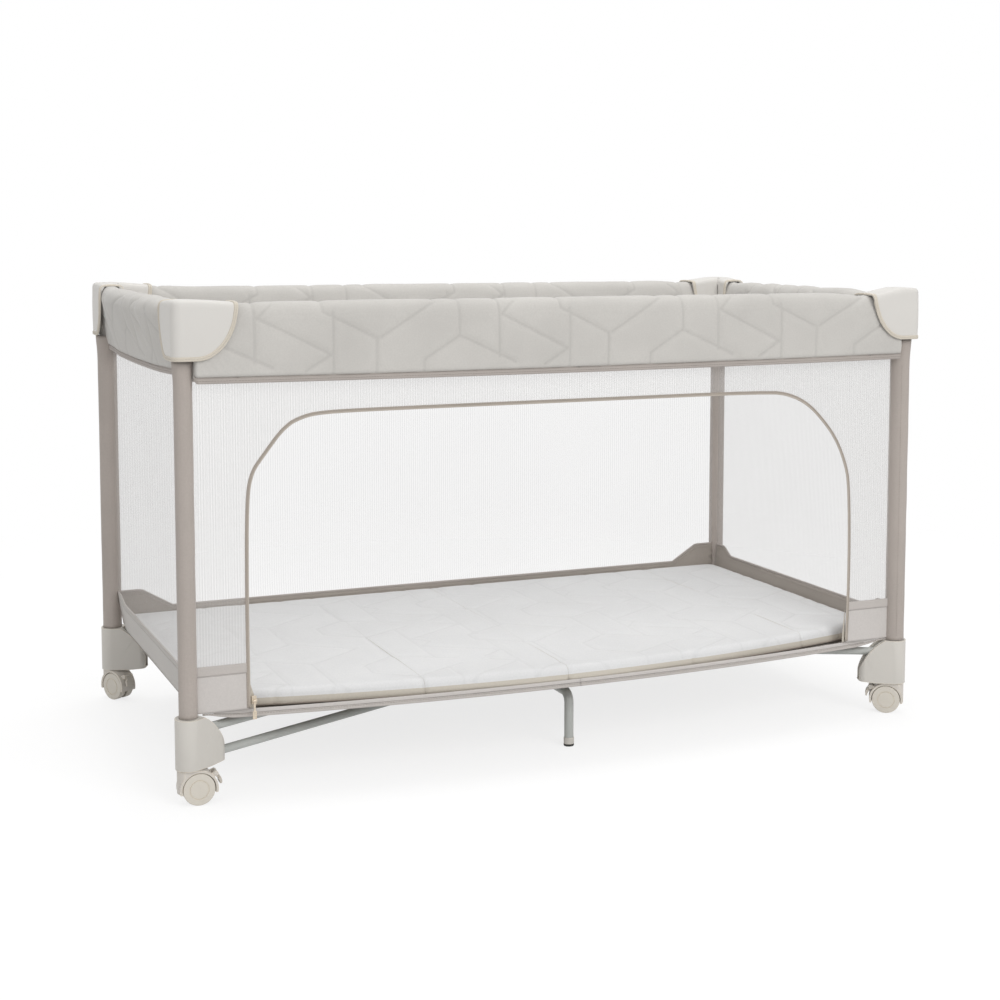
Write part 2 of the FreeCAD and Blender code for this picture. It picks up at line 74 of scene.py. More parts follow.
# Heights of the front wall, and how far its edges stay from the posts' axes.
MESH_TOP = 0.6175
BAND_SEAM = 0.187
BAND_TOP = 0.1995
BAND_LOW = 0.131
FRONT_EDGE = 0.0125

FAR = 9.0  # more than any distance on the cot
UP = (0, 0, 1)
FRONT = (0, -1, 0)


# ---------------------------------------------------------------- colours and materials

def rgb(r, g, b):
    """A display colour, 0 to 255, as linear values."""
    return tuple(
        (c / 255 / 12.92) if c <= 10 else ((c / 255 + 0.055) / 1.055) ** 2.4 for c in (r, g, b)
    ) + (1.0,)


def scaled(colour, k):
    return tuple(min(c * k, 1.0) for c in colour[:3]) + (1.0,)


class Tree:
    """Adds and links nodes in one node tree."""

    def __init__(self, tree):
        self.tree = tree

    def node(self, kind, **values):
        n = self.tree.nodes.new(kind)
        for key, value in values.items():
            setattr(n, key, value)
        return n

    def link(self, a, b):
        self.tree.links.new(a, b)

    def math(self, kind, a, b=None, clamp=False):
        n = self.node("ShaderNodeMath", operation=kind, use_clamp=clamp)
        for socket, value in zip(n.inputs, (a, b)):
            if value is None:
                continue
            if isinstance(value, (int, float)):
                socket.default_value = value
            else:
                self.link(value, socket)
        return n.outputs[0]

    def seen(self):
        """1 for rays that show the backdrop itself, 0 for rays that only carry its light."""
        path = self.node("ShaderNodeLightPath").outputs
        either = self.math("MAXIMUM", path["Is Camera Ray"], path["Is Glossy Ray"])
        return self.math("MAXIMUM", either, path["Is Transmission Ray"])


class Shader(Tree):
    """The node tree of one new material."""

    def __init__(self, name, roughness=0.6, specular=0.5, sheen=0.0, coat=0.0):
        self.mat = bpy.data.materials.new(name)
        self.mat.use_nodes = True
        super().__init__(self.mat.node_tree)
        self.bsdf = self.tree.nodes["Principled BSDF"]
        for key, value in (("Roughness", roughness), ("Specular IOR Level", specular),
                           ("Sheen Weight", sheen), ("Sheen Roughness", 0.4),
                           ("Coat Weight", coat), ("Coat Roughness", 0.25)):
            self.bsdf.inputs[key].default_value = value

    def coords(self, kind="Object"):
        return self.node("ShaderNodeTexCoord").outputs[kind]

    def texture(self, kind, vector, output, inputs, **values):
        n = self.node(kind, **values)
        self.link(vector, n.inputs["Vector"])
        for key, value in inputs.items():
            n.inputs[key].default_value = value
        return n.outputs[output]

    def stretched(self, vector, scale):
        return self.texture("ShaderNodeMapping", vector, "Vector", {"Scale": scale})

    def noise(self, vector, scale, detail=2.0, roughness=0.5):
        return self.texture("ShaderNodeTexNoise", vector, "Fac",
                            {"Scale": scale, "Detail": detail, "Roughness": roughness})

    def voronoi(self, vector, scale):
        return self.texture("ShaderNodeTexVoronoi", vector, "Distance", {"Scale": scale})

    def wave(self, vector, period, axis):
        """A sine from 0 to 1 that repeats every period metres along an axis."""
        scale = 2 * math.pi / period / 20
        return self.texture("ShaderNodeTexWave", vector, "Fac", {"Scale": scale},
                            wave_type="BANDS", bands_direction=axis)

    def ramp(self, fac, low, high, from_low=0.0, from_high=1.0):
        n = self.node("ShaderNodeMapRange")
        self.link(fac, n.inputs["Value"])
        for key, value in (("From Min", from_low), ("From Max", from_high),
                           ("To Min", low), ("To Max", high)):
            n.inputs[key].default_value = value
        return n.outputs["Result"]

    def mix(self, fac, a, b):
        """A colour from a at 0 to b at 1.  Colours may be values or sockets."""
        n = self.node("ShaderNodeMix", data_type="RGBA")
        self.link(fac, n.inputs["Factor"])
        for socket, value in ((n.inputs[6], a), (n.inputs[7], b)):
            if isinstance(value, tuple):
                socket.default_value = value
            else:
                self.link(value, socket)
        return n.outputs[2]

    def edges(self, radius):
        """1 on rounded or sharp edges, 0 on flat faces."""
        bevel = self.node("ShaderNodeBevel", samples=4)
        bevel.inputs["Radius"].default_value = radius
        geometry = self.node("ShaderNodeNewGeometry")
        dot = self.node("ShaderNodeVectorMath", operation="DOT_PRODUCT")
        self.link(bevel.outputs[0], dot.inputs[0])
        self.link(geometry.outputs["Normal"], dot.inputs[1])
        return self.ramp(dot.outputs["Value"], 1.0, 0.0, 0.86, 0.995)

    def attribute(self, name):
        return self.node("ShaderNodeAttribute", attribute_name=name).outputs["Fac"]

    def colour(self, socket):
        self.link(socket, self.bsdf.inputs["Base Color"])

    def rough(self, fac, low, high):
        self.link(self.ramp(fac, low, high), self.bsdf.inputs["Roughness"])

    def bump(self, height, distance, strength=1.0):
        n = self.node("ShaderNodeBump")
        n.inputs["Strength"].default_value = strength
        n.inputs["Distance"].default_value = distance
        self.link(height, n.inputs["Height"])
        self.link(n.outputs["Normal"], self.bsdf.inputs["Normal"])

    def weave(self, vector, period):
        """Threads going over and under along all three axes."""
        x, y, z = (self.wave(vector, period, axis) for axis in "XYZ")
        return self.math("MULTIPLY", self.math("ADD", self.math("ADD", x, y), z), 1 / 3)


def fabric(name, colour, period=0.0011, vary=0.05, seam=0.0, ribs=None):
    """Woven cloth.  seam sets how much painted shade darkens the quilting grooves, where the mesh's
    seam attribute is near 0.
    """
    s = Shader(name, roughness=0.85, specular=0.25, sheen=0.25)
    at = s.coords()
    threads = s.wave(s.coords("UV"), ribs, "Y") if ribs else s.weave(at, period)
    cloud = s.noise(at, 9.0, 3.0)
    fleck = s.noise(at, 420.0, 2.0)
    base = s.mix(s.ramp(cloud, 0.0, 1.0, 0.3, 0.7),
                 scaled(colour, 1 - vary), scaled(colour, 1 + vary))
    base = s.mix(s.ramp(fleck, 0.0, 0.16, 0.35, 0.65), base, scaled(colour, 0.72))
    base = s.mix(s.ramp(threads, 0.14, 0.0), base, scaled(colour, 0.7))
    if seam:
        # Painted shade: darker within a few millimetres of the quilting seams, in the grooves.
        painted_groove_shade = s.ramp(s.attribute("seam"), seam, 0.0, 0.0, 0.0035)
        base = s.mix(painted_groove_shade, base, scaled(colour, 0.55))
    s.colour(base)
    s.rough(fleck, 0.74, 0.95)
    s.bump(s.math("ADD", threads, s.math("MULTIPLY", fleck, 0.6)), 0.00012)
    return s.mat


def netting(name, colour, cover):
    """Fine mesh with small holes and a soft vertical stripe.  cover is its mean opacity."""
    s = Shader(name, roughness=0.8, specular=0.2, sheen=0.1)
    uv = s.coords("UV")
    holes = s.math("MULTIPLY", s.wave(uv, 0.0011, "X"), s.wave(uv, 0.0013, "Y"))
    stripes = s.wave(uv, 0.0043, "X")
    cloud = s.noise(s.coords(), 5.0, 2.0)
    solid = s.math("SUBTRACT", cover, s.math("MULTIPLY", holes, 0.16))
    solid = s.math("ADD", solid, s.math("MULTIPLY", stripes, 0.08))
    solid = s.math("ADD", solid, s.ramp(cloud, -0.03, 0.03), clamp=True)
    s.link(solid, s.bsdf.inputs["Alpha"])
    s.colour(s.mix(cloud, scaled(colour, 0.97), scaled(colour, 1.03)))
    s.rough(stripes, 0.75, 0.9)
    s.bump(holes, 0.0001)
    return s.mat


def plastic(name, colour, edge=None, roughness=0.42, grain=0.00005, edge_radius=0.0014):
    """Moulded plastic with a fine spark-eroded grain, scuffs and a paler rim: partly the moulding's
    cream lip, partly painted highlight where the rounded edges catch light.
    """
    s = Shader(name, roughness=roughness, specular=0.45)
    at = s.coords()
    cloud = s.noise(at, 14.0, 3.0)
    grains = s.noise(at, 1500.0, 2.0)
    scuffs = s.noise(s.stretched(at, (260.0, 260.0, 30.0)), 1.0, 4.0, 0.7)
    base = s.mix(cloud, scaled(colour, 0.965), scaled(colour, 1.03))
    base = s.mix(s.ramp(scuffs, 0.0, 0.25, 0.62, 0.8), base, scaled(colour, 0.86))
    # Edges take the edge colour: partly the moulded lip's tint, partly painted highlight.
    if edge:
        base = s.mix(s.edges(edge_radius), base, edge)
    s.colour(base)
    s.rough(s.math("ADD", s.math("MULTIPLY", grains, 0.5), s.math("MULTIPLY", scuffs, 0.5)),
            roughness - 0.08, roughness + 0.14)
    s.bump(s.math("ADD", grains, s.math("MULTIPLY", cloud, 0.5)), grain)
    return s.mat


def leatherette(name, colour):
    """Smooth coated fabric with a very fine pebble grain."""
    s = Shader(name, roughness=0.5, specular=0.4, sheen=0.08)
    at = s.coords()
    pebble = s.voronoi(at, 900.0)
    cloud = s.noise(at, 11.0, 3.0)
    base = s.mix(cloud, scaled(colour, 0.97), scaled(colour, 1.025))
    base = s.mix(s.ramp(pebble, 0.10, 0.0, 0.0, 0.4), base, scaled(colour, 0.85))
    s.colour(base)
    s.rough(cloud, 0.42, 0.58)
    s.bump(s.math("ADD", pebble, s.math("MULTIPLY", cloud, 0.6)), 0.00010)
    return s.mat


def paint(name, colour):
    """Powder-coated tube: orange peel, rubbed patches and lighter edges."""
    s = Shader(name, roughness=0.36, coat=0.12)
    at = s.coords()
    peel = s.noise(at, 650.0, 2.0)
    rubbed = s.noise(s.stretched(at, (25.0, 25.0, 25.0)), 1.0, 5.0, 0.65)
    base = s.mix(s.ramp(rubbed, 0.0, 1.0, 0.35, 0.7), scaled(colour, 0.94), scaled(colour, 1.04))
    base = s.mix(s.edges(0.001), base, scaled(colour, 1.12))
    s.colour(base)
    s.rough(rubbed, 0.30, 0.48)
    s.bump(peel, 0.00006)
    return s.mat


def metal(name, colour):
    """Cast and plated small fittings."""
    s = Shader(name, roughness=0.32)
    s.bsdf.inputs["Metallic"].default_value = 0.4
    at = s.coords()
    worn = s.noise(at, 500.0, 3.0)
    s.colour(s.mix(s.ramp(worn, 0.0, 1.0, 0.35, 0.65), scaled(colour, 0.85), scaled(colour, 1.1)))
    s.rough(worn, 0.24, 0.48)
    s.bump(worn, 0.00005)
    return s.mat


GREIGE = rgb(181, 172, 165)
QUILT = rgb(203, 200, 195)
# The pale cream of the plastic parts' edges: partly the moulding's own lip, partly painted
# highlight where rounded edges catch light.
CREAM_RIM_HIGHLIGHT = rgb(226, 216, 198)

M = {
    # The quilt takes painted shade in its quilting grooves; seam sets how much.
    "quilt": fabric("quilt", QUILT, seam=0.26),
    "binding": fabric("binding", rgb(180, 172, 166), ribs=0.0016),
    "sleeve": fabric("sleeve", GREIGE, period=0.0014),
    "band": fabric("band", rgb(206, 201, 197), period=0.0013, vary=0.03),
    "band_left": fabric("band_left", rgb(202, 198, 193), period=0.0013, vary=0.03),
    # A darker copy of the band cloth, for the bands seen from inside and the floor cloth: painted
    # shade.
    "band_shaded": fabric("band_shaded", rgb(170, 162, 154), period=0.0013),
    "hem": fabric("hem", rgb(196, 190, 185), period=0.0012, vary=0.02),
    "zip_tape": fabric("zip_tape", rgb(172, 162, 152), ribs=0.0016),
    "coil": fabric("coil", rgb(190, 181, 170), ribs=0.0012),
    "net": netting("net", rgb(214, 212, 210), 0.25),
    "net_back": netting("net_back", rgb(212, 210, 209), 0.24),
    # A darker, denser copy of the netting for the side walls: painted shade.
    "net_side_shaded": netting("net_side_shaded", rgb(190, 187, 185), 0.30),
    "cap": leatherette("cap", rgb(214, 211, 206)),
    "cream": fabric("cream", rgb(216, 208, 194), period=0.0009, vary=0.03),
    # The mattress top takes painted shade in its quilting grooves too.
    "pad_top": fabric("pad_top", rgb(226, 226, 226), period=0.0010, vary=0.02, seam=0.15),
    "pad_side": fabric("pad_side", rgb(205, 198, 186), period=0.0012, vary=0.03),
    "thread": fabric("thread", rgb(205, 198, 188), period=0.0005, vary=0.02),
    # Dark thread for the stitches, also used for the painted shadow line under the mattress's front
    # edge.
    "thread_dark": fabric("thread_dark", rgb(150, 140, 131), period=0.0005, vary=0.02),
    # The plastic parts with an edge colour get paler edges: partly the moulded lip, partly painted
    # highlight.
    "foot": plastic("foot", rgb(207, 203, 196), edge=CREAM_RIM_HIGHLIGHT, edge_radius=0.0022),
    "caster": plastic("caster", rgb(208, 202, 194), edge=CREAM_RIM_HIGHLIGHT, edge_radius=0.0022),
    "wheel": plastic("wheel", rgb(214, 208, 197), edge=scaled(CREAM_RIM_HIGHLIGHT, 0.95)),
    "lever": plastic("lever", rgb(199, 193, 184), edge=CREAM_RIM_HIGHLIGHT),
    "bracket": plastic("bracket", rgb(176, 172, 166)),
    "button": plastic("button", rgb(150, 146, 140), roughness=0.5),
    "hub": plastic("hub", rgb(160, 157, 152), edge=rgb(185, 182, 176), roughness=0.5),
    "arm": paint("arm", rgb(184, 186, 182)),
    "post": paint("post", rgb(190, 186, 180)),
    "rubber": plastic("rubber", rgb(38, 36, 35), roughness=0.75, grain=0.0001),
    "brass": metal("brass", rgb(214, 200, 180)),
}


# ---------------------------------------------------------------- mesh helpers

def add_mesh(name, verts, faces, materials, face_material=None, uv=None, seam=None, flip=False):
    """A smooth-shaded mesh object.  uv and seam are given per vertex."""
    mesh = bpy.data.meshes.new(name)
    mesh.from_pydata([tuple(v) for v in verts], [], [tuple(f) for f in faces])
    for m in materials:
        mesh.materials.append(M[m])
    mesh.polygons.foreach_set("use_smooth", [True] * len(mesh.polygons))
    if face_material is not None:
        mesh.polygons.foreach_set("material_index", list(map(int, face_material)))
    if uv is not None:
        layer = mesh.uv_layers.new(name="UVMap")
        corner = np.zeros(len(mesh.loops), int)
        mesh.loops.foreach_get("vertex_index", corner)
        layer.data.foreach_set("uv", np.asarray(uv, float)[corner].astype(np.float32).ravel())
    if seam is not None:
        attribute = mesh.attributes.new("seam", "FLOAT", "POINT")
        attribute.data.foreach_set("value", np.asarray(seam, np.float32))
    if flip:
        mesh.flip_normals()
    mesh.validate()
    mesh.update()
    obj = bpy.data.objects.new(name, mesh)
    bpy.context.scene.collection.objects.link(obj)
    return obj


def grid_faces(rows, cols, wrap=False):
    """Quads of a grid numbered row by row.  wrap joins the last column to the first."""
    faces = []
    for r in range(rows - 1):
        for c in range(cols if wrap else cols - 1):
            d = (c + 1) % cols
            a = r * cols
            b = a + cols
            faces.append((a + c, a + d, b + d, b + c))
    return faces


def resample(points, pitch, closed=False):
    """Points evenly spaced along a smooth curve through the given ones."""
    p = np.asarray(points, float)
    if closed:
        p = np.vstack([p, p[:1]])
    run = np.concatenate([[0], np.cumsum(np.linalg.norm(np.diff(p, axis=0), axis=1))])
    count = max(3, int(round(run[-1] / pitch)) + 1)
    at = np.linspace(0, run[-1], count)
    out = np.stack([np.interp(at, run, p[:, k]) for k in range(p.shape[1])], 1)
    return out[:-1] if closed else out


def smooth_line(points, rounds=2):
    """Corner cutting, which keeps the ends."""
    p = np.asarray(points, float)
    for _ in range(rounds):
        a = p[:-1] * 0.75 + p[1:] * 0.25
        b = p[:-1] * 0.25 + p[1:] * 0.75
        p = np.vstack([p[:1], np.stack([a, b], 1).reshape(-1, p.shape[1]), p[-1:]])
    return p


def sweep(path, section, up=UP):
    """Carries a closed 2D section (sideways, up) along a path.  Returns vertices and faces."""
    p = np.asarray(path, float)
    n = len(p)
    tangent = np.gradient(p, axis=0)
    tangent /= np.maximum(np.linalg.norm(tangent, axis=1, keepdims=True), 1e-9)
    side = np.cross(tangent, np.broadcast_to(np.asarray(up, float), p.shape))
    side /= np.maximum(np.linalg.norm(side, axis=1, keepdims=True), 1e-9)
    lift = np.cross(side, tangent)
    s = np.asarray(section, float)
    verts = (p[:, None, :] + side[:, None, :] * s[None, :, 0, None]
             + lift[:, None, :] * s[None, :, 1, None]).reshape(-1, 3)
    faces = grid_faces(n, len(s), wrap=True)
    faces.append(tuple(range(len(s) - 1, -1, -1)))
    faces.append(tuple((n - 1) * len(s) + c for c in range(len(s))))
    return verts, faces


def oval(wide, tall, count=10):
    turn = np.linspace(0, 2 * math.pi, count, endpoint=False)
    return np.stack([np.cos(turn) * wide, np.sin(turn) * tall], 1)


STITCH_PITCH = 0.0042
STITCH_LENGTH = 0.0028


def stitches(path, radius=0.00028, up=UP):
    """Short raised threads along a path, as vertices and faces."""
    line = resample(path, STITCH_PITCH)
    threads = []
    for a, b in zip(line[:-1], line[1:]):
        way = (b - a) / max(np.linalg.norm(b - a), 1e-9)
        start = a + way * (STITCH_PITCH - STITCH_LENGTH) / 2
        end = a + way * (STITCH_PITCH + STITCH_LENGTH) / 2
        v, f = sweep([start, (start + end) / 2, end], oval(radius, radius, 5), up)
        v[:5] = start + (v[:5] - start) * 0.5
        v[-5:] = end + (v[-5:] - end) * 0.5
        threads.append((v, f))
    return joined(*threads)


def joined(*parts):
    """Several (vertices, faces) as one."""
    verts, faces = [], []
    for v, f in parts:
        faces += [tuple(i + len(verts) for i in face) for face in f]
        verts += list(v)
    return verts, faces


def ripple(a, b, seed, low, high, waves=6):
    """A smooth, repeatable height from -1 to 1 over two coordinates in metres."""
    rng = np.random.default_rng(seed)
    total = np.zeros(np.broadcast(a, b).shape)
    for _ in range(waves):
        turn = rng.uniform(0, math.pi)
        pitch = rng.uniform(low, high)
        phase = rng.uniform(0, 2 * math.pi)
        total += np.sin((np.cos(turn) * a + np.sin(turn) * b) * pitch * 2 + phase)
    return total / waves


def seam_distance(u, v, segments):
    """Distance from each point to the nearest of the line segments."""
    best = np.full(u.shape, FAR)
    for (ax, ay), (bx, by) in segments:
        dx, dy = bx - ax, by - ay
        t = np.clip(((u - ax) * dx + (v - ay) * dy) / (dx * dx + dy * dy), 0, 1)
        best = np.minimum(best, np.hypot(u - ax - t * dx, v - ay - t * dy))
    return best


# The quilting: a repeat of slanting and upright seams.  The first number is along the repeat, and
# the second goes from the cover's top edge, 0, to its bottom edge, 1.
REPEAT = 0.3775
QUILT_H = 0.105
PATTERN = [
    ((0.0, 0.13), (0.0, 1.0)), ((-0.04, -0.3), (-0.04, 0.13)), ((-0.04, 0.13), (0.17, 0.5)),
    ((0.175, 0.5), (0.175, 1.0)), ((0.19, 0.5), (0.42, 0.0)), ((0.42, 0.0), (0.42, -0.3)),
    ((0.52, -0.3), (0.52, 0.5)), ((0.52, 0.5), (0.37, 0.82)), ((0.37, 0.82), (0.37, 1.0)),
    ((0.52, 0.5), (0.76, 0.88)), ((0.69, -0.3), (0.69, 0.8)), ((0.70, 0.2), (0.76, 0.0)),
    ((0.70, 0.2), (0.99, 0.72)), ((0.99, 0.72), (0.89, 0.93)),
]


def quilt_lines(origin, low, high, height=QUILT_H, mirrored=1):
    """The pattern's seams between two distances, in metres, in rows that mirror one another."""
    lines = []
    first = int(math.floor((low - origin) / REPEAT)) - 1
    last = int(math.ceil((high - origin) / REPEAT)) + 1
    for k in range(first, last):
        for (s0, t0), (s1, t1) in PATTERN:
            for m in range(mirrored):
                ends = []
                for s, t in ((s0, t0), (s1, t1)):
                    t = max(t, 0.0) if mirrored > 1 else t
                    t = m + 1 - t if m % 2 else m + t
                    ends.append((origin + (k + s) * REPEAT, t * height))
                lines.append(tuple(ends))
    return [line for line in lines if line[0] != line[1]]


def place(side, s, n, z):
    """A point given along a side from its post, outward from the rail's line, and up."""
    post, out, along, _, _ = SIDES[side]
    sx, sy = CORNERS[post]
    return np.stack([
        sx * POST_X + along[0] * s + out[0] * n,
        sy * POST_Y + along[1] * s + out[1] * n,
        np.broadcast_to(z, np.shape(s)),
    ], -1)


# ---------------------------------------------------------------- rail covers

COVER_START = 0.0132
COVER_PITCH = 0.0026 * COARSE
# Where a cover's corner length ends, on the long and on the short sides.
SPLIT_LONG = 0.0745
SPLIT_SHORT = 0.0625
END_ROUND = 0.005
STITCH_Z = 0.6177
# Heights of the padding between seams, of its creases, and of the gathers beside the corners.
PUFF = 0.0024
PUFF_WIDTH = 0.0048
CREASE = 0.0006
GATHER = 0.0005
SLANT = 0.0011
# Half of the cover's section, from the middle of its underside round its outer face to its top.
# Each point is (outward, up).
UNDER = [(0.0, 0.6168), (0.0185, 0.6162), (0.0205, 0.6140)]
STRIP = [(0.0214, 0.6134), (0.0228, 0.6138), (0.0234, 0.6150), (0.0235, 0.6196),
         (0.0228, 0.6207), (0.0208, 0.6212)]
FACE = [(0.0212, 0.6216), (0.0228, 0.6226), (0.0240, 0.6265), (0.0247, 0.6400), (0.0250, 0.6600),
        (0.0249, 0.6800), (0.0245, 0.6960), (0.0236, 0.7060), (0.0215, 0.7140), (0.0175, 0.7200),
        (0.0120, 0.7238), (0.0060, 0.7252), (0.0, 0.7256)]
# How far each corner's cover droops towards its flaps' ends, and how much higher it starts.
DIP = {"fl": 0.0038, "fr": 0.0100, "bl": 0.0045, "br": 0.0068}
RISE = {"fl": 0.0, "fr": 0.0, "bl": 0.0055, "br": 0.0}
# How far each top cover's crown sits below its section, at its first and second corner.
LEVEL = {"front": (0.0012, 0.0045), "right": (0.0050, 0.0050), "back": (0.0035, 0.0008),
         "left": (-0.0008, -0.0004)}
# How far the lower part of a cover sags at its ends, and how much more in its middle.
SAG_LONG = (0.0025, 0.0030)
SAG_SHORT = (-0.0065, 0.0055)


def eased(x, start, width):
    """From 0 to 1 over a width, with a soft start and end."""
    t = np.clip((x - start) / width, 0, 1)
    return t * t * (3 - 2 * t)


def droop(away):
    """How much of a corner's dip there is at a distance from its post."""
    return np.clip((away - 0.012) / 0.055, 0, 1) ** 1.3


def cover_section():
    """The whole closed section, with each point's distance below the quilt's top edge."""
    face = resample(smooth_line(FACE, 2), COVER_PITCH)
    strip = np.array(STRIP)
    under = resample(UNDER, 0.005)
    half = np.vstack([under, strip, face])
    run = np.concatenate([[0], np.cumsum(np.linalg.norm(np.diff(face, axis=0), axis=1))])
    below = np.concatenate([np.full(len(under) + len(strip), -1.0), QUILT_H - run])
    kind = np.concatenate([np.zeros(len(under)), np.ones(len(strip)), np.full(len(face), 2)])
    other = half[-2:0:-1] * np.array([-1, 1])
    return (np.vstack([half, other]), np.concatenate([below, below[-2:0:-1]]),
            np.concatenate([kind, kind[-2:0:-1]]))


def cover_shift(side, S, z):
    """How far the cover's cloth sits below its section."""
    length = SIDES[side][3]
    ends, more = SAG_LONG if length > 1 else SAG_SHORT
    sag = ends + more * (1 - (2 * S / length - 1) ** 2)
    shift = sag * np.clip((0.725 - z) / 0.1, 0, 1)
    # The top follows the corner covers, then changes to its own level.
    first, second = SIDES[side][0], SIDES[NEXT_SIDE[side]][0]
    dip = np.where(S > length / 2, DIP[second], DIP[first])
    rise = np.where(S > length / 2, RISE[second], RISE[first])
    to_corner = np.minimum(S, length - S)
    level = LEVEL[side][0] + (LEVEL[side][1] - LEVEL[side][0]) * S / length
    t = eased(to_corner, SPLIT_LONG, 0.09)
    drop = (-0.0007 - rise + dip * droop(to_corner)) * (1 - t) + level * t
    return shift + drop * np.clip((z - 0.66) / 0.05, 0, 1)


def cover_tuck(side, n, z):
    """The short covers' lower edge tucks in under them."""
    if SIDES[side][3] > 1:
        return n
    q = np.clip((0.705 - z) / 0.085, 0, 1)
    return n * (1 - 0.45 * q) - 0.010 * q


def cover_width(side, S):
    """The cover is slimmer beside the corners, and the short ones swell between them."""
    t = eased(np.minimum(S, SIDES[side][3] - S), 0.045, 0.11)
    return 0.97 + 0.03 * t if SIDES[side][3] > 1 else 0.70 + 0.36 * t


def rail_cover(side, half, at_corner):
    """One length of a top cover: beside a post, or from there to the rail's middle joint."""
    post, _, _, length, rails = SIDES[side]
    section, below, kind = cover_section()
    cols = len(section)
    long_side = length > 1
    split = SPLIT_LONG if long_side else SPLIT_SHORT
    low, high = (COVER_START, split) if at_corner else (split, length / 2)
    a, b = (low, high) if half == 0 else (length - high, length - low)
    s = np.linspace(a, b, max(4, int(round((b - a) / COVER_PITCH))))
    if at_corner:
        ends = np.array([0, 0.0003, 0.0010, 0.0020, 0.0034, END_ROUND])
        s = np.unique(np.concatenate([s, a + ends if half == 0 else b - ends]))
    S, K = np.meshgrid(s, np.arange(cols), indexing="ij")
    n, z = section[K, 0], section[K, 1]
    v, quilted = below[K], (kind[K] == 2)
    # Tangents of the section give the outward direction for the padding.
    step = np.roll(section, -1, 0) - np.roll(section, 1, 0)
    step /= np.linalg.norm(step, axis=1, keepdims=True)
    norm_n, norm_z = step[:, 1][K], -step[:, 0][K]
    seams = quilt_lines(0.216 if long_side else 0.09, a - 0.1, b + 0.1)
    d = np.where(quilted, seam_distance(S, v, seams), 0.0)
    hem = np.clip((QUILT_H - v) / 0.004, 0, 1)
    puff = PUFF * (1 - np.exp(-d / PUFF_WIDTH)) * hem
    # The inner face is sampled elsewhere in the ripple, so it doesn't repeat the outer one.
    inner = np.where(n < 0, 17.3, 0.0)
    creases = ripple(S + inner, z, 5 + len(side), low=6, high=26) * CREASE
    gather = GATHER * np.sin(S * 520 + 8 * np.sin(z * 60)) * (
        np.exp(-S / 0.060) + np.exp(-(length - S) / 0.060))
    if not long_side:
        slant = np.sin((S * 0.8 + (z - 0.62) * 0.7) * 95 + 2.5 * np.sin(S * 17))
        gather = gather + SLANT * slant * np.clip((z - 0.63) / 0.03, 0, 1)
    push = np.where(quilted, puff - PUFF / 2 + creases + gather * hem, 0.0)
    n = cover_tuck(side, (n + norm_n * push) * cover_width(side, S), z)
    z = z + norm_z * push
    z = z - cover_shift(side, S, z)
    if at_corner:
        t = np.clip(1 - np.abs(S - (a if half == 0 else b)) / END_ROUND, 0, 1)
        off = END_ROUND * (1 - np.sqrt(1 - t ** 2))
        n = n * (1 - off / 0.0255)
        z = 0.670 + (z - 0.670) * (1 - off / 0.057)
    points = place(side, S, n, z).reshape(-1, 3)
    faces = grid_faces(len(s), cols, wrap=True)
    face_kind = [0 if kind[c] == 2 and kind[(c + 1) % cols] == 2 else 1
                 for _ in range(len(s) - 1) for c in range(cols)]
    uv = np.stack([S.ravel(), (K * COVER_PITCH).ravel()], 1)
    # Distance to the nearest quilting seam, which sets the painted shade in the grooves.
    seam = np.where(quilted, d, 0.004).ravel()
    # The ends have rings of their own, so the long faces stay smooth right up to them.
    for ring in (0, len(s) - 1):
        rim = points[ring * cols:(ring + 1) * cols]
        first = len(points)
        points = np.vstack([points, rim, rim.mean(0)])
        uv = np.vstack([uv, uv[ring * cols:(ring + 1) * cols], [(0, 0)]])
        seam = np.concatenate([seam, np.full(cols + 1, 0.01)])
        for c in range(cols):
            order = (first + c, first + (c + 1) % cols, first + cols)
            faces.append(order if ring else order[::-1])
            face_kind.append(0)
    name = "cover_" + rails[half].replace("rail_", "") + ("_corner" if at_corner else "")
    cover = add_mesh(name, points, faces, ["quilt", "binding"], face_kind, uv, seam)
    fix_normals(cover)
    line_s = np.linspace(a + 0.001, b - 0.001, max(6, int((b - a) / 0.012)))
    line_n = cover_tuck(side, 0.0238 * cover_width(side, line_s), STITCH_Z)
    line_z = STITCH_Z - cover_shift(side, line_s, np.full(len(line_s), STITCH_Z))
    thread = add_mesh(name + "_stitches", *stitches(place(side, line_s, line_n, line_z)),
                      ["thread_dark"])
    corner_post = post if half == 0 else SIDES[NEXT_SIDE[side]][0]
    for obj in (cover, thread):
        if at_corner:
            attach(obj, "post_" + corner_post)
        else:
            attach(obj, rails[half])
            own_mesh(obj)
    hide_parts("side_" + side)


def fix_normals(obj):
    import bmesh
    bm = bmesh.new()
    bm.from_mesh(obj.data)
    bmesh.ops.recalc_face_normals(bm, faces=bm.faces)
    bm.to_mesh(obj.data)
    bm.free()


for side in SIDES:
    for half in (0, 1):
        rail_cover(side, half, False)
        rail_cover(side, half, True)


# ---------------------------------------------------------------- sheets in the walls

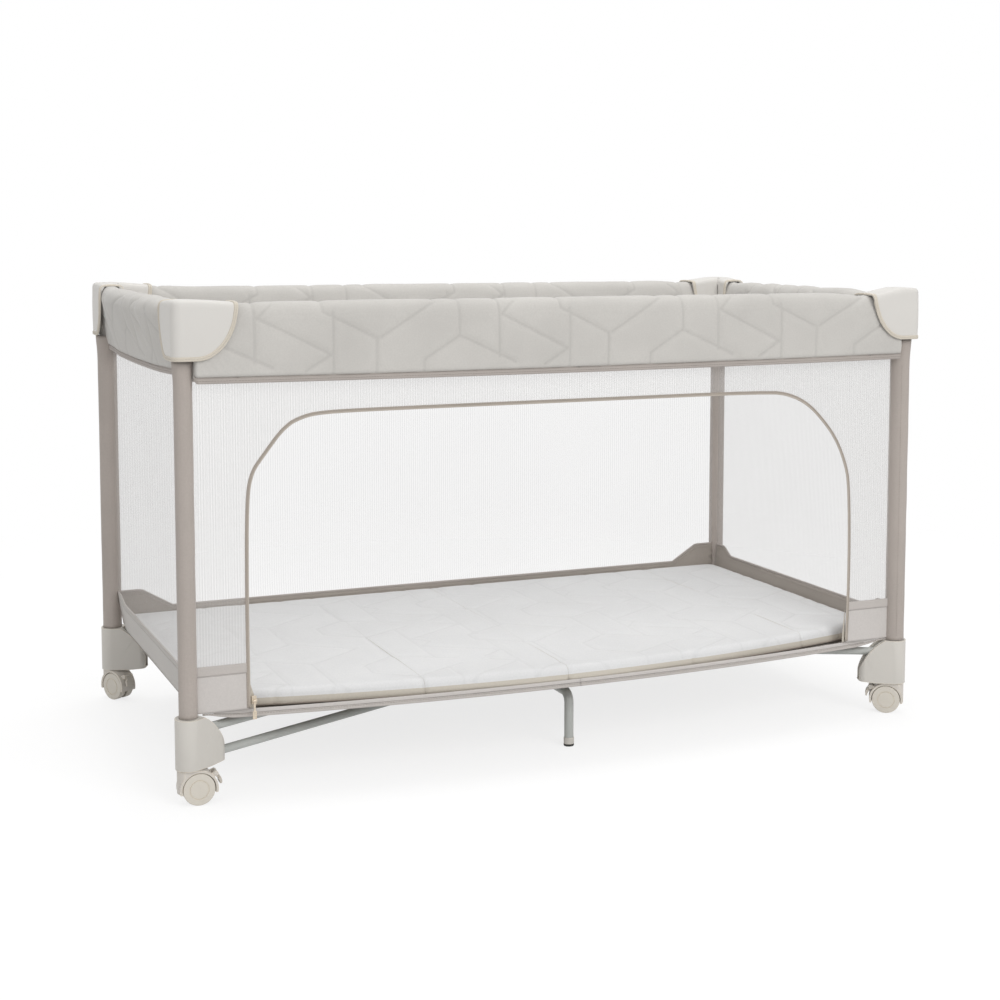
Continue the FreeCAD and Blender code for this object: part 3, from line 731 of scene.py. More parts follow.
def flat_sheet(outline, pitch, holes=()):
    """Triangles filling an outline, given in two coordinates, with a regular grid inside it."""
    loops = [np.asarray(outline, float)] + [np.asarray(h, float) for h in holes]
    points, edges, polygons = [], [], []
    for loop in loops:
        start = len(points)
        points += [Vector(p) for p in loop]
        ring = list(range(start, len(points)))
        edges += [(ring[i], ring[(i + 1) % len(ring)]) for i in range(len(ring))]
        polygons.append(ring)
    low, high = loops[0].min(0), loops[0].max(0)
    xs = np.arange(low[0] + pitch / 2, high[0], pitch)
    ys = np.arange(low[1] + pitch / 2, high[1], pitch)
    gx, gy = (g.ravel() for g in np.meshgrid(xs, ys))
    keep = inside(gx, gy, loops[0])
    for loop in loops[1:]:
        keep &= ~inside(gx, gy, loop)
    segments = [(l[i], l[(i + 1) % len(l)]) for l in loops for i in range(len(l))]
    keep[keep] = seam_distance(gx[keep], gy[keep], segments) > pitch * 0.35
    points += [Vector(p) for p in zip(gx[keep], gy[keep])]
    verts, _, faces, *_ = delaunay_2d_cdt(points, edges, [], 0, 1e-6)
    verts = np.array([tuple(v) for v in verts])
    kept = []
    for f in faces:
        cx, cy = verts[list(f)].mean(0)
        if inside(np.array([cx]), np.array([cy]), loops[0])[0] and not any(
            inside(np.array([cx]), np.array([cy]), loop)[0] for loop in loops[1:]
        ):
            kept.append(tuple(f))
    return verts, kept


def inside(x, y, loop):
    """Even-odd test of points in a closed outline."""
    hit = np.zeros(np.shape(x), bool)
    for (x0, y0), (x1, y1) in zip(loop, np.roll(loop, -1, 0)):
        if y0 == y1:
            continue
        crosses = (y0 > y) != (y1 > y)
        hit ^= crosses & (x < (x1 - x0) * (y - y0) / (y1 - y0) + x0)
    return hit


def solidify(obj, thickness):
    m = obj.modifiers.new("thickness", "SOLIDIFY")
    m.thickness = thickness
    m.offset = 0
    return obj


def hang(obj, side):
    """A piece of a wall moves with the wall's own post."""
    post, _, along, _, _ = SIDES[side]
    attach(obj, "post_" + post)
    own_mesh(obj)
    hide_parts("side_" + side)
    return obj


def wall_piece(name, side, outline, material, pitch=0.012, out=0.0, wave=0.0012, thick=0.0):
    """A piece of cloth in a wall.  out is its distance outward, or a function of the height."""
    outline = resample(outline, pitch * 0.7, closed=True)
    verts, faces = flat_sheet(outline, pitch * COARSE)
    s, z = verts[:, 0], verts[:, 1]
    n = (out(z) if callable(out) else out) + wave * ripple(s, z, len(name), low=2, high=9)
    obj = add_mesh(name, place(side, s, n, z), faces, [material], uv=verts)
    if thick:
        solidify(obj, thick)
    return hang(obj, side)


# The door's arch in the front wall, from its lower left end to its lower right end.
ARCH = smooth_line([
    (-0.520, 0.133), (-0.521, 0.30), (-0.519, 0.44), (-0.512, 0.478), (-0.4945, 0.5016),
    (-0.462, 0.543), (-0.435, 0.556), (-0.405, 0.561), (-0.314, 0.562), (0.0, 0.562),
    (0.352, 0.562), (0.393, 0.556), (0.430, 0.538), (0.463, 0.505), (0.4855, 0.475),
    (0.5030, 0.435), (0.5105, 0.40), (0.5140, 0.269), (0.511, 0.133),
], 2)
ARCH_S = ARCH + np.array([POST_X, 0.0])


def front_wall():
    end = 2 * POST_X - FRONT_EDGE
    left_foot, right_foot = ARCH_S[0, 0], ARCH_S[-1, 0]
    above = ARCH_S[ARCH_S[:, 1] > BAND_TOP]
    hem_z = BAND_TOP - 0.002
    net = wall_piece("net_front", "front", np.vstack([
        [(FRONT_EDGE, hem_z), (above[0, 0], hem_z)], above,
        [(above[-1, 0], hem_z), (end, hem_z), (end, MESH_TOP), (FRONT_EDGE, MESH_TOP)],
    ]), "net")
    for name, s0, s1 in (("left", FRONT_EDGE, left_foot), ("right", right_foot, end)):
        for label, z0, z1, material, pitch, out, wave, thick in (
            ("", BAND_LOW, BAND_SEAM + 0.001, "band", 0.006, 0.0006, 0.0012, 0.0009),
            ("_top", BAND_SEAM - 0.002, BAND_TOP, "hem", 0.005, 0.0016, 0.0006, 0.0014),
        ):
            wall_piece("band_front_" + name + label, "front",
                                    [(s0, z0), (s1, z0), (s1, z1), (s0, z1)], material,
                                    pitch=pitch, out=out, wave=wave, thick=thick)
    # The zip follows the arch: a flat tape, the coil along its open edge, and a row of stitches.
    path = resample(ARCH_S, 0.006)
    way = np.gradient(path, axis=0)
    way /= np.linalg.norm(way, axis=1, keepdims=True)
    inward = np.stack([way[:, 1], -way[:, 0]], 1)

    def beside(offset, out):
        line = path + inward * offset
        return place("front", line[:, 0], out, line[:, 1])

    tape = sweep(beside(-0.0016, 0.0016), rounded_bar(0.0019, 0.0009), up=FRONT)
    coil = sweep(beside(0.0008, 0.0020), oval(0.0013, 0.0011, 8), up=FRONT)
    thread = stitches(beside(-0.0028, 0.0029)[::2], up=FRONT)
    for name, shape, material in (("zip_tape", tape, "zip_tape"), ("zip_coil", coil, "coil"),
                                  ("zip_stitches", thread, "thread")):
        hang(add_mesh(name, *shape, [material]), "front")
    # The rolled-up door leaves a narrow strip of its cloth beside each end of the zip.
    for name, foot, wide, tall in (("left", left_foot, 0.0105, 0.172),
                                   ("right", right_foot, -0.0060, 0.186)):
        near = foot + math.copysign(0.001, wide)
        wall_piece("door_edge_" + name, "front", [
            (near, tall), (near, BAND_LOW), (foot + wide, BAND_LOW),
            (foot + wide * 0.8, BAND_LOW + (tall - BAND_LOW) * 0.4)],
            "pad_side", pitch=0.005, out=-0.0016, wave=0.0004, thick=0.0010)


def rounded_bar(half_wide, half_tall):
    """A flat section with rounded edges."""
    turn = np.linspace(-math.pi / 2, math.pi / 2, 5)
    right = [(half_wide - half_tall + half_tall * math.cos(t), half_tall * math.sin(t))
             for t in turn]
    left = [(-x, -y) for x, y in right]
    return np.array(right + left)


def plain_wall(side, band_z, ramp, ramp_z, inset, lean, low):
    """A mesh wall with a fabric band along its foot that rises to both corners and leans inward."""
    length = SIDES[side][3]
    left = side == "left"
    a = 0.0085 if left else 0.0110
    b = length - a
    r0, r1 = ramp
    top = [(a, ramp_z), (r0, ramp_z), (r1, band_z), (length - r1, band_z), (length - r0, ramp_z),
           (b, ramp_z)]

    def out_at(z):
        return inset - lean * np.clip((ramp_z - z) / (ramp_z - low), 0, 1) ** 1.2

    mesh_top = MESH_TOP if length > 1 else 0.6265
    # The side walls take the darker, denser copy of the netting: painted shade.
    net = wall_piece("net_" + side, side, top + [(b, mesh_top), (a, mesh_top)],
                     "net_back" if side == "back" else "net_side_shaded", out=out_at)
    foot_in = 0.017
    # The back and right bands take the darker band cloth: painted shade.
    band = wall_piece("band_" + side, side, [(foot_in, low), (length - foot_in, low)] + top[::-1],
                      "band_left" if left else "band_shaded", pitch=0.008, out=out_at, thick=0.0012)
    edge = resample(np.array(top), 0.006)

    def along_edge(down, out):
        z = edge[:, 1] - down
        return place(side, edge[:, 0], out_at(z) + out, z)

    cord = sweep(along_edge(0.0, 0.0), oval(0.0016, 0.0022, 8))
    cord = hang(add_mesh("band_%s_edge" % side, *cord, ["hem" if left else "binding"]), side)
    rows = joined(stitches(along_edge(0.007, 0.0022)), stitches(along_edge(0.007, -0.0018)))
    thread = hang(add_mesh("band_%s_stitches" % side, *rows, ["thread_dark"]), side)


front_wall()
plain_wall("back", 0.158, (0.051, 0.105), 0.189, inset=-0.005, lean=0.008, low=0.131)
plain_wall("left", 0.1785, (0.043, 0.071), 0.190, inset=-0.009, lean=0.011, low=0.1245)
plain_wall("right", 0.1725, (0.043, 0.071), 0.188, inset=-0.005, lean=0.008, low=0.129)


# ---------------------------------------------------------------- post sleeves

SLEEVE_R = {"fl": 0.0128, "fr": 0.0156, "bl": 0.0156, "br": 0.0136}
SLEEVE_Z = (0.1275, 0.643)
SLEEVE_TURNS = 40


def sleeve(corner):
    """The sewn tube round a post, a little drawn out towards both walls and wider at its ends."""
    sx, sy = CORNERS[corner]
    size = SLEEVE_R[corner]
    side = {v[0]: k for k, v in SIDES.items()}[corner]
    rows = int(90 / COARSE)
    Z, T = np.meshgrid(np.linspace(*SLEEVE_Z, rows),
                       np.linspace(0, 2 * math.pi, SLEEVE_TURNS, endpoint=False), indexing="ij")
    radius = np.full(Z.shape, size)
    for wall in (math.atan2(0, -sx), math.atan2(-sy, 0)):
        gap = np.abs((T - wall + math.pi) % (2 * math.pi) - math.pi)
        radius += 0.0006 * np.exp(-(gap / 0.35) ** 2)
    radius += 0.0022 * np.exp(-((0.645 - Z) / 0.022) ** 2)
    radius += 0.0003 * ripple(T * 0.05, Z, 40 + len(side), low=10, high=60)
    radius += 0.0005 * np.exp(-((Z - 0.1295) / 0.002) ** 2)
    points = np.stack([sx * POST_X + radius * np.cos(T), sy * POST_Y + radius * np.sin(T), Z], -1)
    uv = np.stack([(T * size).ravel(), Z.ravel()], 1)
    obj = add_mesh("sleeve_" + corner, points.reshape(-1, 3),
                   grid_faces(rows, SLEEVE_TURNS, wrap=True), ["sleeve"], uv=uv)
    fix_normals(obj)
    solidify(obj, 0.0008)
    seam_turn = math.atan2(-sy, -sx) + math.pi * 0.62
    line = [(sx * POST_X + (size + 0.0006) * math.cos(seam_turn),
             sy * POST_Y + (size + 0.0006) * math.sin(seam_turn), h)
            for h in np.linspace(0.135, 0.60, 120)]
    thread = add_mesh("sleeve_%s_stitches" % corner, *stitches(line, up=(1, 0, 0)), ["thread_dark"])
    for o in (obj, thread):
        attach(o, "post_" + corner)
    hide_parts("side_" + side)


for corner in CORNERS:
    sleeve(corner)


# ---------------------------------------------------------------- corner covers

# The outer faces' distances from the post's axis, the lower and upper edge, and the rounding.
CAP_X = 0.0196
CAP_Y = 0.0292
CAP_Z = (0.6445, 0.7290)
CAP_ROUND = 0.0135
CAP_LIP = 0.0075
CAP_ARC = CAP_LIP * math.pi / 2
CAP_FLAT = 0.036
# How far the long and the short flap reach, where their lower edges start to rise, and how roundly.
CAP_REACH = (0.0745, 0.0605)
FLAP_START = 0.017
FLAP_POWER = 1.9
# The binding's section: distance in from the cover's edge, and lift off its surface.
BAND_SHAPE = [(-0.0004, -0.0014), (-0.0008, 0.0003), (0.0003, 0.0013), (0.0016, 0.0015),
              (0.0024, 0.0009), (0.0033, 0.0014), (0.0045, 0.0014), (0.0054, 0.0008),
              (0.0057, -0.0004)]


def cap_path():
    """The outer face's line from above, from the long flap's end round to the short flap's."""
    long_end, short_end = CAP_REACH
    points, normals = [], []
    for x in np.linspace(long_end, CAP_ROUND - CAP_X, 26):
        points.append((x, -CAP_Y))
        normals.append((0, -1))
    centre = (CAP_ROUND - CAP_X, CAP_ROUND - CAP_Y)
    for t in np.linspace(0, math.pi / 2, 14)[1:]:
        normals.append((-math.sin(t), -math.cos(t)))
        points.append((centre[0] - CAP_ROUND * math.sin(t), centre[1] - CAP_ROUND * math.cos(t)))
    for y in np.linspace(CAP_ROUND - CAP_Y, short_end, 24)[1:]:
        points.append((-CAP_X, y))
        normals.append((-1, 0))
    return np.array(points), np.array(normals)


def cap_low(points):
    """Height of the lower edge: level round the corner, rising in a D at each flap's end."""
    low = np.zeros(len(points))
    for axis, reach in enumerate(CAP_REACH):
        t = np.clip((points[:, axis] - FLAP_START) / (reach - FLAP_START), 0, 1)
        rise = 1 - (1 - t ** FLAP_POWER) ** (1 / FLAP_POWER)
        low = np.maximum(low, (CAP_Z[1] - CAP_LIP - CAP_Z[0]) * rise)
    return CAP_Z[0] + low


def cap_point(p, n, b, lift, low, top):
    """A point on the cover: b from 0 at the lower outer edge to 1 at the lower inner edge."""
    inner = np.array([max(p[0], CAP_X), max(p[1], CAP_Y)])
    m = np.array([float(p[1] > CAP_Y - 1e-9), float(p[0] > CAP_X - 1e-9)])
    m = m if m.any() else np.ones(2)
    m = m / np.linalg.norm(m)
    wall = top - CAP_LIP - low
    total = 2 * (wall + CAP_ARC) + CAP_FLAT
    d = b * total

    def shoulder(foot, way, t):
        xy = foot + way * (lift * math.cos(t) - CAP_LIP * (1 - math.cos(t)))
        return np.array([*xy, top - CAP_LIP + (CAP_LIP + lift) * math.sin(t)])

    if d <= wall:
        bulge = 0.0008 * math.sin(math.pi * d / max(wall, 1e-6))
        return np.array([*(p + n * (bulge + lift)), low + d])
    if d <= wall + CAP_ARC:
        return shoulder(p, n, (d - wall) / CAP_LIP)
    if d >= total - wall:
        return np.array([*(inner + m * lift), low + total - d])
    if d >= total - wall - CAP_ARC:
        return shoulder(inner, m, (total - wall - d) / CAP_LIP)
    w = (d - wall - CAP_ARC) / CAP_FLAT
    a, c = p - n * CAP_LIP, inner - m * CAP_LIP
    crown = 0.0008 * math.sin(math.pi * w)
    return np.array([*(a + (c - a) * w), top + lift + crown])


def corner_cap(corner):
    sx, sy = CORNERS[corner]
    points, normals = cap_path()
    low = cap_low(points)
    away = np.maximum(points[:, 0], points[:, 1])
    top = CAP_Z[1] + RISE[corner] - DIP[corner] * droop(away)
    low = np.minimum(low, top - CAP_LIP)
    rows = int(64 / COARSE)
    verts = []
    for p, n, l, t in zip(points, normals, low, top):
        verts += [cap_point(p, n, b, 0.0, l, t) for b in np.linspace(0, 1, rows)]
    verts = np.array(verts)

    def at(v):
        v = np.asarray(v, float)
        return np.stack([sx * (POST_X - v[:, 0]), sy * (POST_Y - v[:, 1]), v[:, 2]], 1)

    cap = add_mesh("corner_cap_" + corner, at(verts), grid_faces(len(points), rows), ["cap"],
                   flip=(sx * sy < 0))
    solid = cap.modifiers.new("skin", "SOLIDIFY")
    solid.thickness = 0.0022
    solid.offset = -1

    # The edge: a folded cream binding with two ridges, laid along the unrolled cover's outline.
    run = np.concatenate([[0], np.cumsum(np.linalg.norm(np.diff(points, axis=0), axis=1))])
    over = 2 * (top - CAP_LIP + CAP_ARC) + CAP_FLAT
    ends = [np.stack([np.full(12, run[i]), np.linspace(low[i], over[i] - low[i], 14)[1:-1]], 1)
            for i in (-1, 0)]
    outline = np.vstack([np.stack([run, low], 1), ends[0], np.stack([run, over - low], 1)[::-1],
                         ends[1][::-1]])
    outline = resample(outline, 0.0026 * COARSE, closed=True)
    for _ in range(3):
        outline = (np.roll(outline, 1, 0) + 2 * outline + np.roll(outline, -1, 0)) / 4
    way = np.roll(outline, -1, 0) - np.roll(outline, 1, 0)
    way /= np.linalg.norm(way, axis=1, keepdims=True)
    inward = np.stack([-way[:, 1], way[:, 0]], 1)

    def surface(a, e, lift):
        """The 3D point at a distance along the path and up over the cover."""
        p = np.array([np.interp(a, run, points[:, k]) for k in range(2)])
        if a > run[-1]:
            p = p + np.array([0.0, a - run[-1]])
        if a < 0:
            p = p + np.array([-a, 0.0])
        n = np.array([np.interp(a, run, normals[:, k]) for k in range(2)])
        n /= np.linalg.norm(n)
        l, t = np.interp(a, run, low), np.interp(a, run, top)
        total = 2 * (t - CAP_LIP - l + CAP_ARC) + CAP_FLAT
        return cap_point(p, n, (e - l) / total, lift, l, t)

    band = np.array([[surface(*(o + i * inset), lift) for inset, lift in BAND_SHAPE]
                     for o, i in zip(outline, inward)])
    k = len(BAND_SHAPE)
    verts = band.reshape(-1, 3)
    faces = grid_faces(len(outline), k)
    last = (len(outline) - 1) * k
    faces += [(last + c, last + c + 1, c + 1, c) for c in range(k - 1)]
    rim = add_mesh("corner_binding_" + corner, at(verts), faces, ["cream"], flip=(sx * sy < 0))
    thread = [surface(*(o + i * 0.0024), 0.0012) for o, i in zip(outline, inward)]
    seam = add_mesh("corner_stitches_" + corner,
                    *stitches(at(np.array(thread)), radius=0.00022), ["thread"])
    for o in (cap, rim, seam):
        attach(o, "post_" + corner)
    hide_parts("corner_cover_" + corner)


for corner in CORNERS:
    corner_cap(corner)


# ---------------------------------------------------------------- floor fabric

HUB_HOLE = 0.062
FOOT_CLEAR = 0.054
FLOOR_Z = 0.1212


def bowed(x, middle, end, reach, slope):
    """A front edge that bows out: a parabola between two corners, and a straight tail beyond."""
    a = np.abs(x)
    bow = -middle + (middle - end) * (np.minimum(a, reach) / reach) ** 2
    return np.where(a <= reach, bow, -end + (a - reach) * slope)


def front_line(x):
    """The bowed front edge of the floor."""
    return np.minimum(bowed(x, 0.336, 0.298, 0.525, 0.012 / 0.078), -0.286)


def floor_quarter(corner):
    """The part of the floor on one arm, with its share of the front hem."""
    sx, sy = CORNERS[corner]
    post = np.array([sx * POST_X, sy * POST_Y])
    # The mattress and the floor end sooner on the left.
    reach = 0.599 if sx > 0 else 0.588

    def clear(line):
        return line[np.hypot(*(line - post).T) > FOOT_CLEAR]

    xs = np.linspace(0.0005, reach, int(60 / COARSE)) * sx
    edge = clear(np.stack([xs, front_line(xs) + 0.002 if sy < 0 else np.full(len(xs), 0.297)], 1))
    side_y = np.linspace(0.0005, 0.29, 24) * sy
    wall = clear(np.stack([np.full(24, sx * (reach + 0.001)), side_y], 1))
    # The four pieces leave a round opening over the hub, so nothing stands up when the arms fold.
    middle = [(sx * HUB_HOLE * math.cos(t), sy * HUB_HOLE * math.sin(t))
              for t in np.linspace(0.008, math.pi / 2 - 0.008, 9)]
    a0, a1 = (math.atan2(*(line[-1] - post)[::-1]) for line in (edge, wall))
    a1 = a0 + ((a1 - a0 + math.pi) % (2 * math.pi) - math.pi)
    arc = [post + FOOT_CLEAR * np.array([math.cos(t), math.sin(t)])
           for t in np.linspace(a0, a1, 12)[1:-1]]
    verts, faces = flat_sheet(np.vstack([edge, arc, wall[::-1], middle]), 0.014 * COARSE)
    z = FLOOR_Z + 0.0005 * ripple(verts[:, 0], verts[:, 1], 71, low=8, high=40)
    # The floor cloth takes the darker band cloth: painted shade under the mattress.
    base = add_mesh("floor_cloth_" + corner, np.column_stack([verts, z]), faces, ["band_shaded"],
                    uv=verts)
    solidify(base, 0.0016)
    extra = []
    if sy < 0:
        xs = np.linspace(-0.0004, 0.5965 if sx > 0 else 0.5885, int(100 / COARSE)) * sx
        # Near the posts the hem straightens and climbs to the foot.
        near = np.clip((np.abs(xs) - 0.535) / 0.045, 0, 1)
        line = front_line(xs) * (1 - near) + near * -0.3035
        lower = 0.1168 + 0.0100 * near ** 1.5
        middle = 0.1230 + 0.0070 * near ** 1.5
        upper = 0.1292 + 0.0048 * near
        for label, z0, z1, thick, mat, out in (("low", lower, middle, 0.0022, "hem", 0.0002),
                                               ("high", middle, upper, 0.0016, "band", 0.0)):
            strip = ribbon(np.column_stack([xs, line - out]), z0 + 0.0003, z1 - 0.0002, thick)
            extra.append(add_mesh("floor_hem_%s_%s" % (label, corner), *strip, [mat]))
        seam = np.column_stack([xs, line - 0.0016, middle - 0.0014])
        extra.append(add_mesh("floor_hem_stitches_" + corner, *stitches(seam), ["thread_dark"]))
    for o in [base] + extra:
        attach(o, "arm_" + corner)
        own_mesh(o)
    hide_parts("floor")


def ribbon(line, z0, z1, thick):
    """An upright strip along a line seen from above, with rounded upper and lower edges."""
    p = np.asarray(line, float)
    way = np.gradient(p, axis=0)
    way /= np.linalg.norm(way, axis=1, keepdims=True)
    side = np.stack([way[:, 1], -way[:, 0]], 1)
    section = [(-0.5, 0.12), (-0.5, 0.88), (-0.25, 1.0), (0.25, 1.0), (0.5, 0.88), (0.5, 0.12),
               (0.25, 0.0), (-0.25, 0.0)]
    verts = [(*(p[i] + side[i] * a * thick), z0[i] + (z1[i] - z0[i]) * b)
             for i in range(len(p)) for a, b in section]
    faces = grid_faces(len(p), len(section), wrap=True)
    faces.append(tuple(range(7, -1, -1)))
    faces.append(tuple((len(p) - 1) * 8 + c for c in range(8)))
    return verts, faces


for corner in CORNERS:
    floor_quarter(corner)


# ---------------------------------------------------------------- mattress

# The panels' ends, the short seams across the front edge, and the mattress's height.
FOLDS = [-0.587, -0.251, -0.018, 0.434, 0.598]
NOTCHES = (-0.474, -0.251, -0.018, 0.209, 0.434)
PAD_LOW = 0.1248
PAD_TOP = 0.1500
PAD_CORNER = 0.030
PAD_ROLL = 0.012
PAD_ROLL_DEPTH = 0.0128
PAD_PUFF = 0.0021
PAD_WAVE = 0.0008


def pad_front(x):
    return bowed(x, 0.3335, 0.272, 0.522, 0.037 / 0.076)


def pad_back(x):
    r = PAD_CORNER
    over = np.clip(np.abs(x) - (0.598 - r), 0, r)
    return 0.2955 - (r - np.sqrt(np.maximum(r * r - over * over, 0)))


def mattress_panel(number):
    """One of the four panels, counted from the left."""
    x0, x1 = FOLDS[number - 1] + 0.00015, FOLDS[number] - 0.00015
    pitch = 0.0042 * COARSE
    xs = np.linspace(x0, x1, int((x1 - x0) / pitch))
    near = np.array([0, 0.0005, 0.0015, 0.003, 0.005, 0.0075, 0.0105])
    xs = np.unique(np.concatenate([xs, x0 + near, x1 - near]))
    rows = int(0.6 / pitch)
    t = np.linspace(0, 1, rows)
    edge = np.array([0, 0.0008, 0.0025, 0.005, 0.0085, 0.0125, 0.017])
    t = np.unique(np.concatenate([t, edge, 1 - edge]))
    X, T = np.meshgrid(xs, t, indexing="ij")
    yf, yb = pad_front(X), pad_back(X)
    # The edge pulls in slightly where short seams cross it.
    for notch in NOTCHES:
        yf = yf + 0.0022 * np.exp(-((X - notch) / 0.004) ** 2)
    Y = yf + (yb - yf) * T
    # The outer ends belong to the rim, which is rounded, and the others to a fold.
    rim = np.minimum(Y - yf, yb - Y)
    fold = np.full(X.shape, FAR)
    for gap, outer in ((X - x0, number == 1), (x1 - X, number == 4)):
        if outer:
            rim = np.minimum(rim, gap)
        else:
            fold = np.minimum(fold, gap)
    r = np.clip(rim / PAD_ROLL, 0, 1)
    height = PAD_TOP - PAD_ROLL_DEPTH * (1 - np.sqrt(1 - (1 - r) ** 2))
    height -= 0.0009 * np.exp(-fold / 0.005)
    segments = quilt_lines(-0.45, x0 - 0.05, x1 + 0.05, height=0.13, mirrored=6)
    d = seam_distance(X, Y + 0.36, segments)
    inside_rim = np.clip(rim / 0.02, 0, 1)
    height += (PAD_PUFF * (1 - np.exp(-d / 0.006)) - 0.0017) * inside_rim
    height += PAD_WAVE * ripple(X, Y, 90 + number, low=3, high=14) * inside_rim
    top = np.stack([X, Y, height + 0.0008 * np.sin(np.pi * T)], -1)
    cols = len(t)

    def side_rows(j, sign):
        """Rows below the top's rim, which bulge a little and tuck in at the bottom."""
        rows_out = []
        for f in (0.97, 0.75, 0.5, 0.25, 0.04):
            bulge = 0.0012 * math.sin(math.pi * f) - (0.0016 if f < 0.1 else 0)
            rows_out.append(np.stack([top[:, j, 0], top[:, j, 1] + sign * bulge,
                                      PAD_LOW + (top[:, j, 2] - PAD_LOW) * f], -1))
        return rows_out

    front = side_rows(0, -1)
    back = side_rows(cols - 1, 1)
    under = [np.stack([top[:, 0, 0], top[:, 0, 1] * (1 - w) + top[:, -1, 1] * w,
                       np.full(len(xs), PAD_LOW)], -1) for w in np.linspace(0.003, 0.997, 12)]
    loop = [top[:, j] for j in range(cols)] + back + under[::-1] + front[::-1]
    grid = np.stack(loop, 1)
    ring = grid.shape[1]
    verts = grid.reshape(-1, 3)
    faces = grid_faces(len(xs), ring, wrap=True)
    kinds = [0 if c < cols - 1 else 1 for _ in range(len(xs) - 1) for c in range(ring)]
    # Each end is closed from its top edge down to the underside.
    for row in (0, len(xs) - 1):
        start = row * ring
        low = len(verts)
        line = verts[start:start + cols]
        verts = np.vstack([verts, np.column_stack([line[:, :2], np.full(cols, PAD_LOW)])])
        for i in range(cols - 1):
            faces.append((start + i, start + i + 1, low + i + 1, low + i))
            kinds.append(1)
    # Distance to the nearest quilting seam on the top, which sets the painted shade in its grooves;
    # elsewhere none.
    seam = np.full(len(verts), 0.02)
    flat = np.full((len(xs), ring), 0.02)
    flat[:, :cols] = d
    seam[:flat.size] = flat.ravel()
    pad = add_mesh("mattress_pad_%d" % number, verts, faces, ["pad_top", "pad_side"], kinds,
                   verts[:, :2], seam)
    fix_normals(pad)
    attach(pad, "mattress_%d" % number)
    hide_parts("mattress_%d" % number)
    # A thin dark cord along the foot of the front side: painted shadow under the mattress's rounded
    # edge.
    xs = xs[(xs >= x0 + 0.0005) & (xs <= x1 - 0.0005)]
    line = np.column_stack([xs, pad_front(xs) - 0.0006, np.full(len(xs), 0.1268)])
    cord = add_mesh("mattress_edge_%d" % number, *sweep(line, oval(0.0009, 0.0011, 6)),
                    ["thread_dark"])
    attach(cord, "mattress_%d" % number)


for number in (1, 2, 3, 4):
    mattress_panel(number)


# ---------------------------------------------------------------- hard parts

EDGE_ANGLE = math.radians(38)


def dress(node, material, bevel=0.0):
    """A CAD node keeps its mesh and takes a material, and its edges are eased."""
    obj = frame["nodes"][node]
    obj.data.materials.clear()
    obj.data.materials.append(M[material])
    if bevel:
        weld = obj.modifiers.new("weld", "WELD")
        weld.merge_threshold = 0.00002
        ease = obj.modifiers.new("ease", "BEVEL")
        ease.width = bevel
        ease.segments = 2
        ease.limit_method = "ANGLE"
        ease.angle_limit = EDGE_ANGLE
        ease.harden_normals = False


for corner in CORNERS:
    for part, material, bevel in (
        ("post", "post", 0), ("corner_bracket", "bracket", 0.0006), ("foot", "foot", 0.0012),
        ("arm", "arm", 0.0004), ("caster", "caster", 0.0007), ("wheels", "wheel", 0),
        ("brake_lever", "lever", 0.0004),
    ):
        dress(part + "_" + corner, material, bevel)
for side, (*_, rails) in SIDES.items():
    dress("button_" + side, "button")
    for rail in rails:
        dress(rail, "arm")
for part, material, bevel in (
    ("lower_arm_fl", "arm", 0.0004), ("lower_arm_br", "arm", 0.0004), ("hub", "hub", 0.0008),
    ("centre_leg_front", "arm", 0), ("centre_leg_back", "arm", 0),
    ("zip_slider", "brass", 0.0004), ("zip_pull", "brass", 0.0003),
):
    dress(part, material, bevel)


# Rubber tip and pale collar of a centre leg, as (radius, height) from below upward.
TIP = [(0.0002, 0.0), (0.0066, 0.0), (0.0080, 0.0008), (0.0084, 0.0016), (0.0085, 0.0030),
       (0.0083, 0.0036), (0.0074, 0.0038)]
COLLAR = [(0.0074, 0.0036), (0.0082, 0.0038), (0.0084, 0.0046), (0.0084, 0.0132),
          (0.0082, 0.0140), (0.0072, 0.0144)]


def leg_tip(node):
    """A rubber cap and a pale collar on the end of a centre leg."""
    obj = frame["nodes"][node]
    verts = np.array([obj.matrix_world @ v.co for v in obj.data.vertices])
    foot = verts[verts[:, 2] < 0.012]
    cx, cy = (foot[:, :2].min(0) + foot[:, :2].max(0)) / 2
    turn = np.linspace(0, 2 * math.pi, 28, endpoint=False)
    for label, material, profile in (("tip", "rubber", TIP), ("collar", "foot", COLLAR)):
        rows = resample(profile, 0.0006)
        verts = [(cx + r * math.cos(t), cy + r * math.sin(t), h) for r, h in rows for t in turn]
        ring = add_mesh(node + "_" + label, verts, grid_faces(len(rows), 28, wrap=True), [material])
        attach(ring, node)


leg_tip("centre_leg_front")
leg_tip("centre_leg_back")


# ---------------------------------------------------------------- stage, lights and camera

WORLD_LIGHT = 0.58
FLOOR_GLOW = 0.77
FLOOR_SIZE = 9.0
FLOOR_FADE = (1.15, 2.1)


def grey(value):
    return (value, value, value, 1.0)


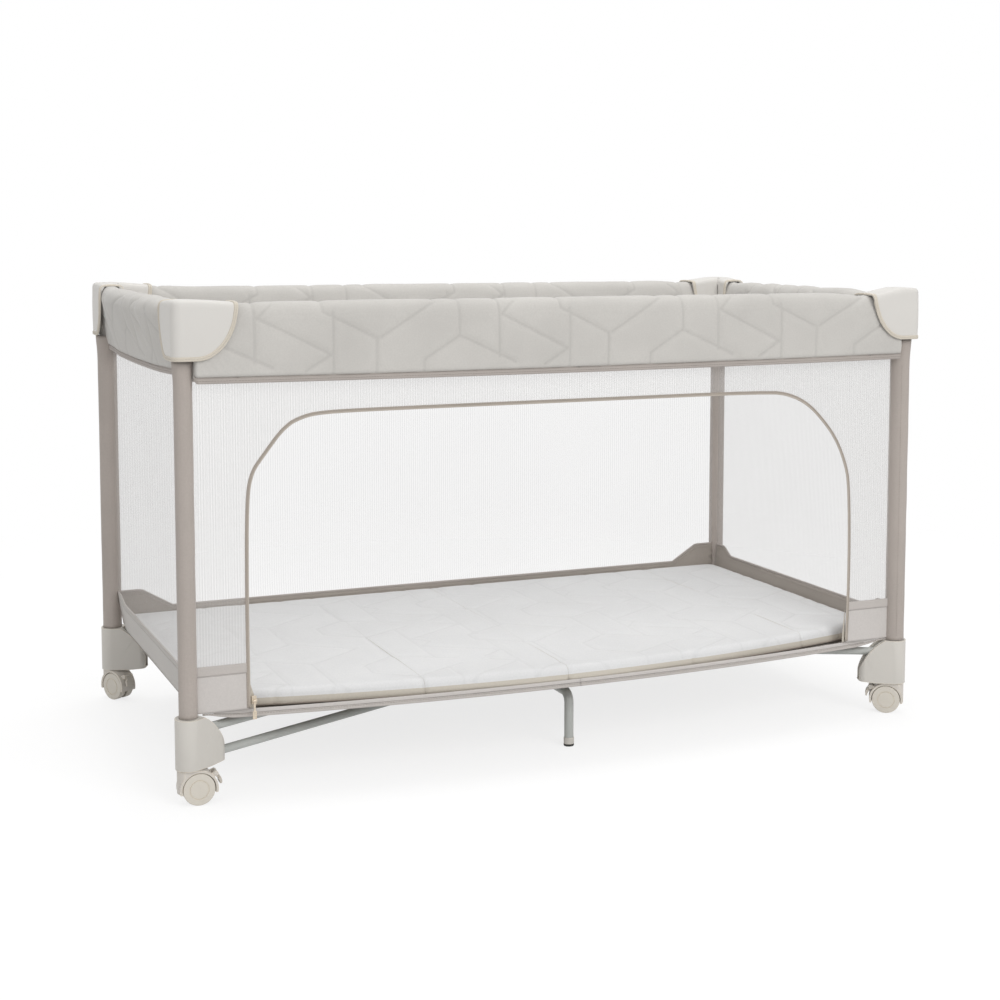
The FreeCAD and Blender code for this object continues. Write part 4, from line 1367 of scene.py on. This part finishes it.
def stage():
    """A pale floor that fades out round the cot into the white backdrop."""
    corners = [(-1, -1, 0), (1, -1, 0), (1, 1, 0), (-1, 1, 0)]
    floor = bpy.data.meshes.new("studio_floor")
    floor.from_pydata([tuple(FLOOR_SIZE * c for c in v) for v in corners], [], [(0, 1, 2, 3)])
    obj = bpy.data.objects.new("studio_floor", floor)
    bpy.context.scene.collection.objects.link(obj)
    s = Shader("studio_floor", roughness=0.9, specular=0.1)
    seen = s.seen()
    # Seen directly the floor is mostly its own white, so shadows stay light.  It still bounces
    # light on to the cot.
    s.colour(s.mix(seen, grey(0.78), grey(0.25)))
    glow = s.node("ShaderNodeEmission")
    s.link(s.math("MULTIPLY", seen, FLOOR_GLOW), glow.inputs["Strength"])
    lit = s.node("ShaderNodeAddShader")
    s.link(s.bsdf.outputs[0], lit.inputs[0])
    s.link(glow.outputs[0], lit.inputs[1])
    reach = s.node("ShaderNodeVectorMath", operation="LENGTH")
    s.link(s.coords(), reach.inputs[0])
    fade = s.node("ShaderNodeMixShader")
    s.link(s.ramp(reach.outputs["Value"], 0.0, 1.0, *FLOOR_FADE), fade.inputs[0])
    s.link(lit.outputs[0], fade.inputs[1])
    s.link(s.node("ShaderNodeBsdfTransparent").outputs[0], fade.inputs[2])
    s.link(fade.outputs[0], s.tree.nodes["Material Output"].inputs["Surface"])
    floor.materials.append(s.mat)


def world():
    """A white backdrop that lights the cot less than it shows."""
    w = bpy.data.worlds.new("studio")
    bpy.context.scene.world = w
    w.use_nodes = True
    w.node_tree.nodes.clear()
    t = Tree(w.node_tree)
    mix = t.node("ShaderNodeMixShader")
    t.link(t.seen(), mix.inputs[0])
    for socket, strength in ((mix.inputs[1], WORLD_LIGHT), (mix.inputs[2], 1.0)):
        back = t.node("ShaderNodeBackground")
        back.inputs["Color"].default_value = grey(1.0)
        back.inputs["Strength"].default_value = strength
        t.link(back.outputs[0], socket)
    t.link(mix.outputs[0], t.node("ShaderNodeOutputWorld").inputs["Surface"])


def lamp(name, at, target, size, power):
    data = bpy.data.lights.new(name, "AREA")
    data.shape = "RECTANGLE"
    data.size, data.size_y = size
    data.energy = power
    obj = bpy.data.objects.new(name, data)
    obj.location = at
    obj.rotation_euler = (Vector(target) - Vector(at)).to_track_quat("-Z", "Y").to_euler()
    bpy.context.scene.collection.objects.link(obj)


stage()
world()
lamp("key", (0.9, -4.0, 2.6), (0, 0, 0.35), (2.6, 2.2), 75)
lamp("fill", (-3.2, -2.2, 2.0), (0, 0, 0.35), (2.4, 2.2), 14)
lamp("top", (0.2, 0.8, 3.4), (0, 0, 0.3), (3.0, 2.4), 44)

CAMERA_PITCH = 5.26
CAMERA_YAW = 22.74

camera_data = bpy.data.cameras.new("camera")
camera_data.lens = 61.5
camera_data.sensor_width = 36.0
camera_data.shift_y = -0.119
camera = bpy.data.objects.new("camera", camera_data)
camera.location = (-1.1257, -2.6978, 0.8360)
camera.rotation_euler = (math.radians(90 - CAMERA_PITCH), 0, math.radians(-CAMERA_YAW))
bpy.context.scene.collection.objects.link(camera)
bpy.context.scene.camera = camera
bpy.context.scene.view_settings.view_transform = "Standard"

bpy.context.view_layer.update()
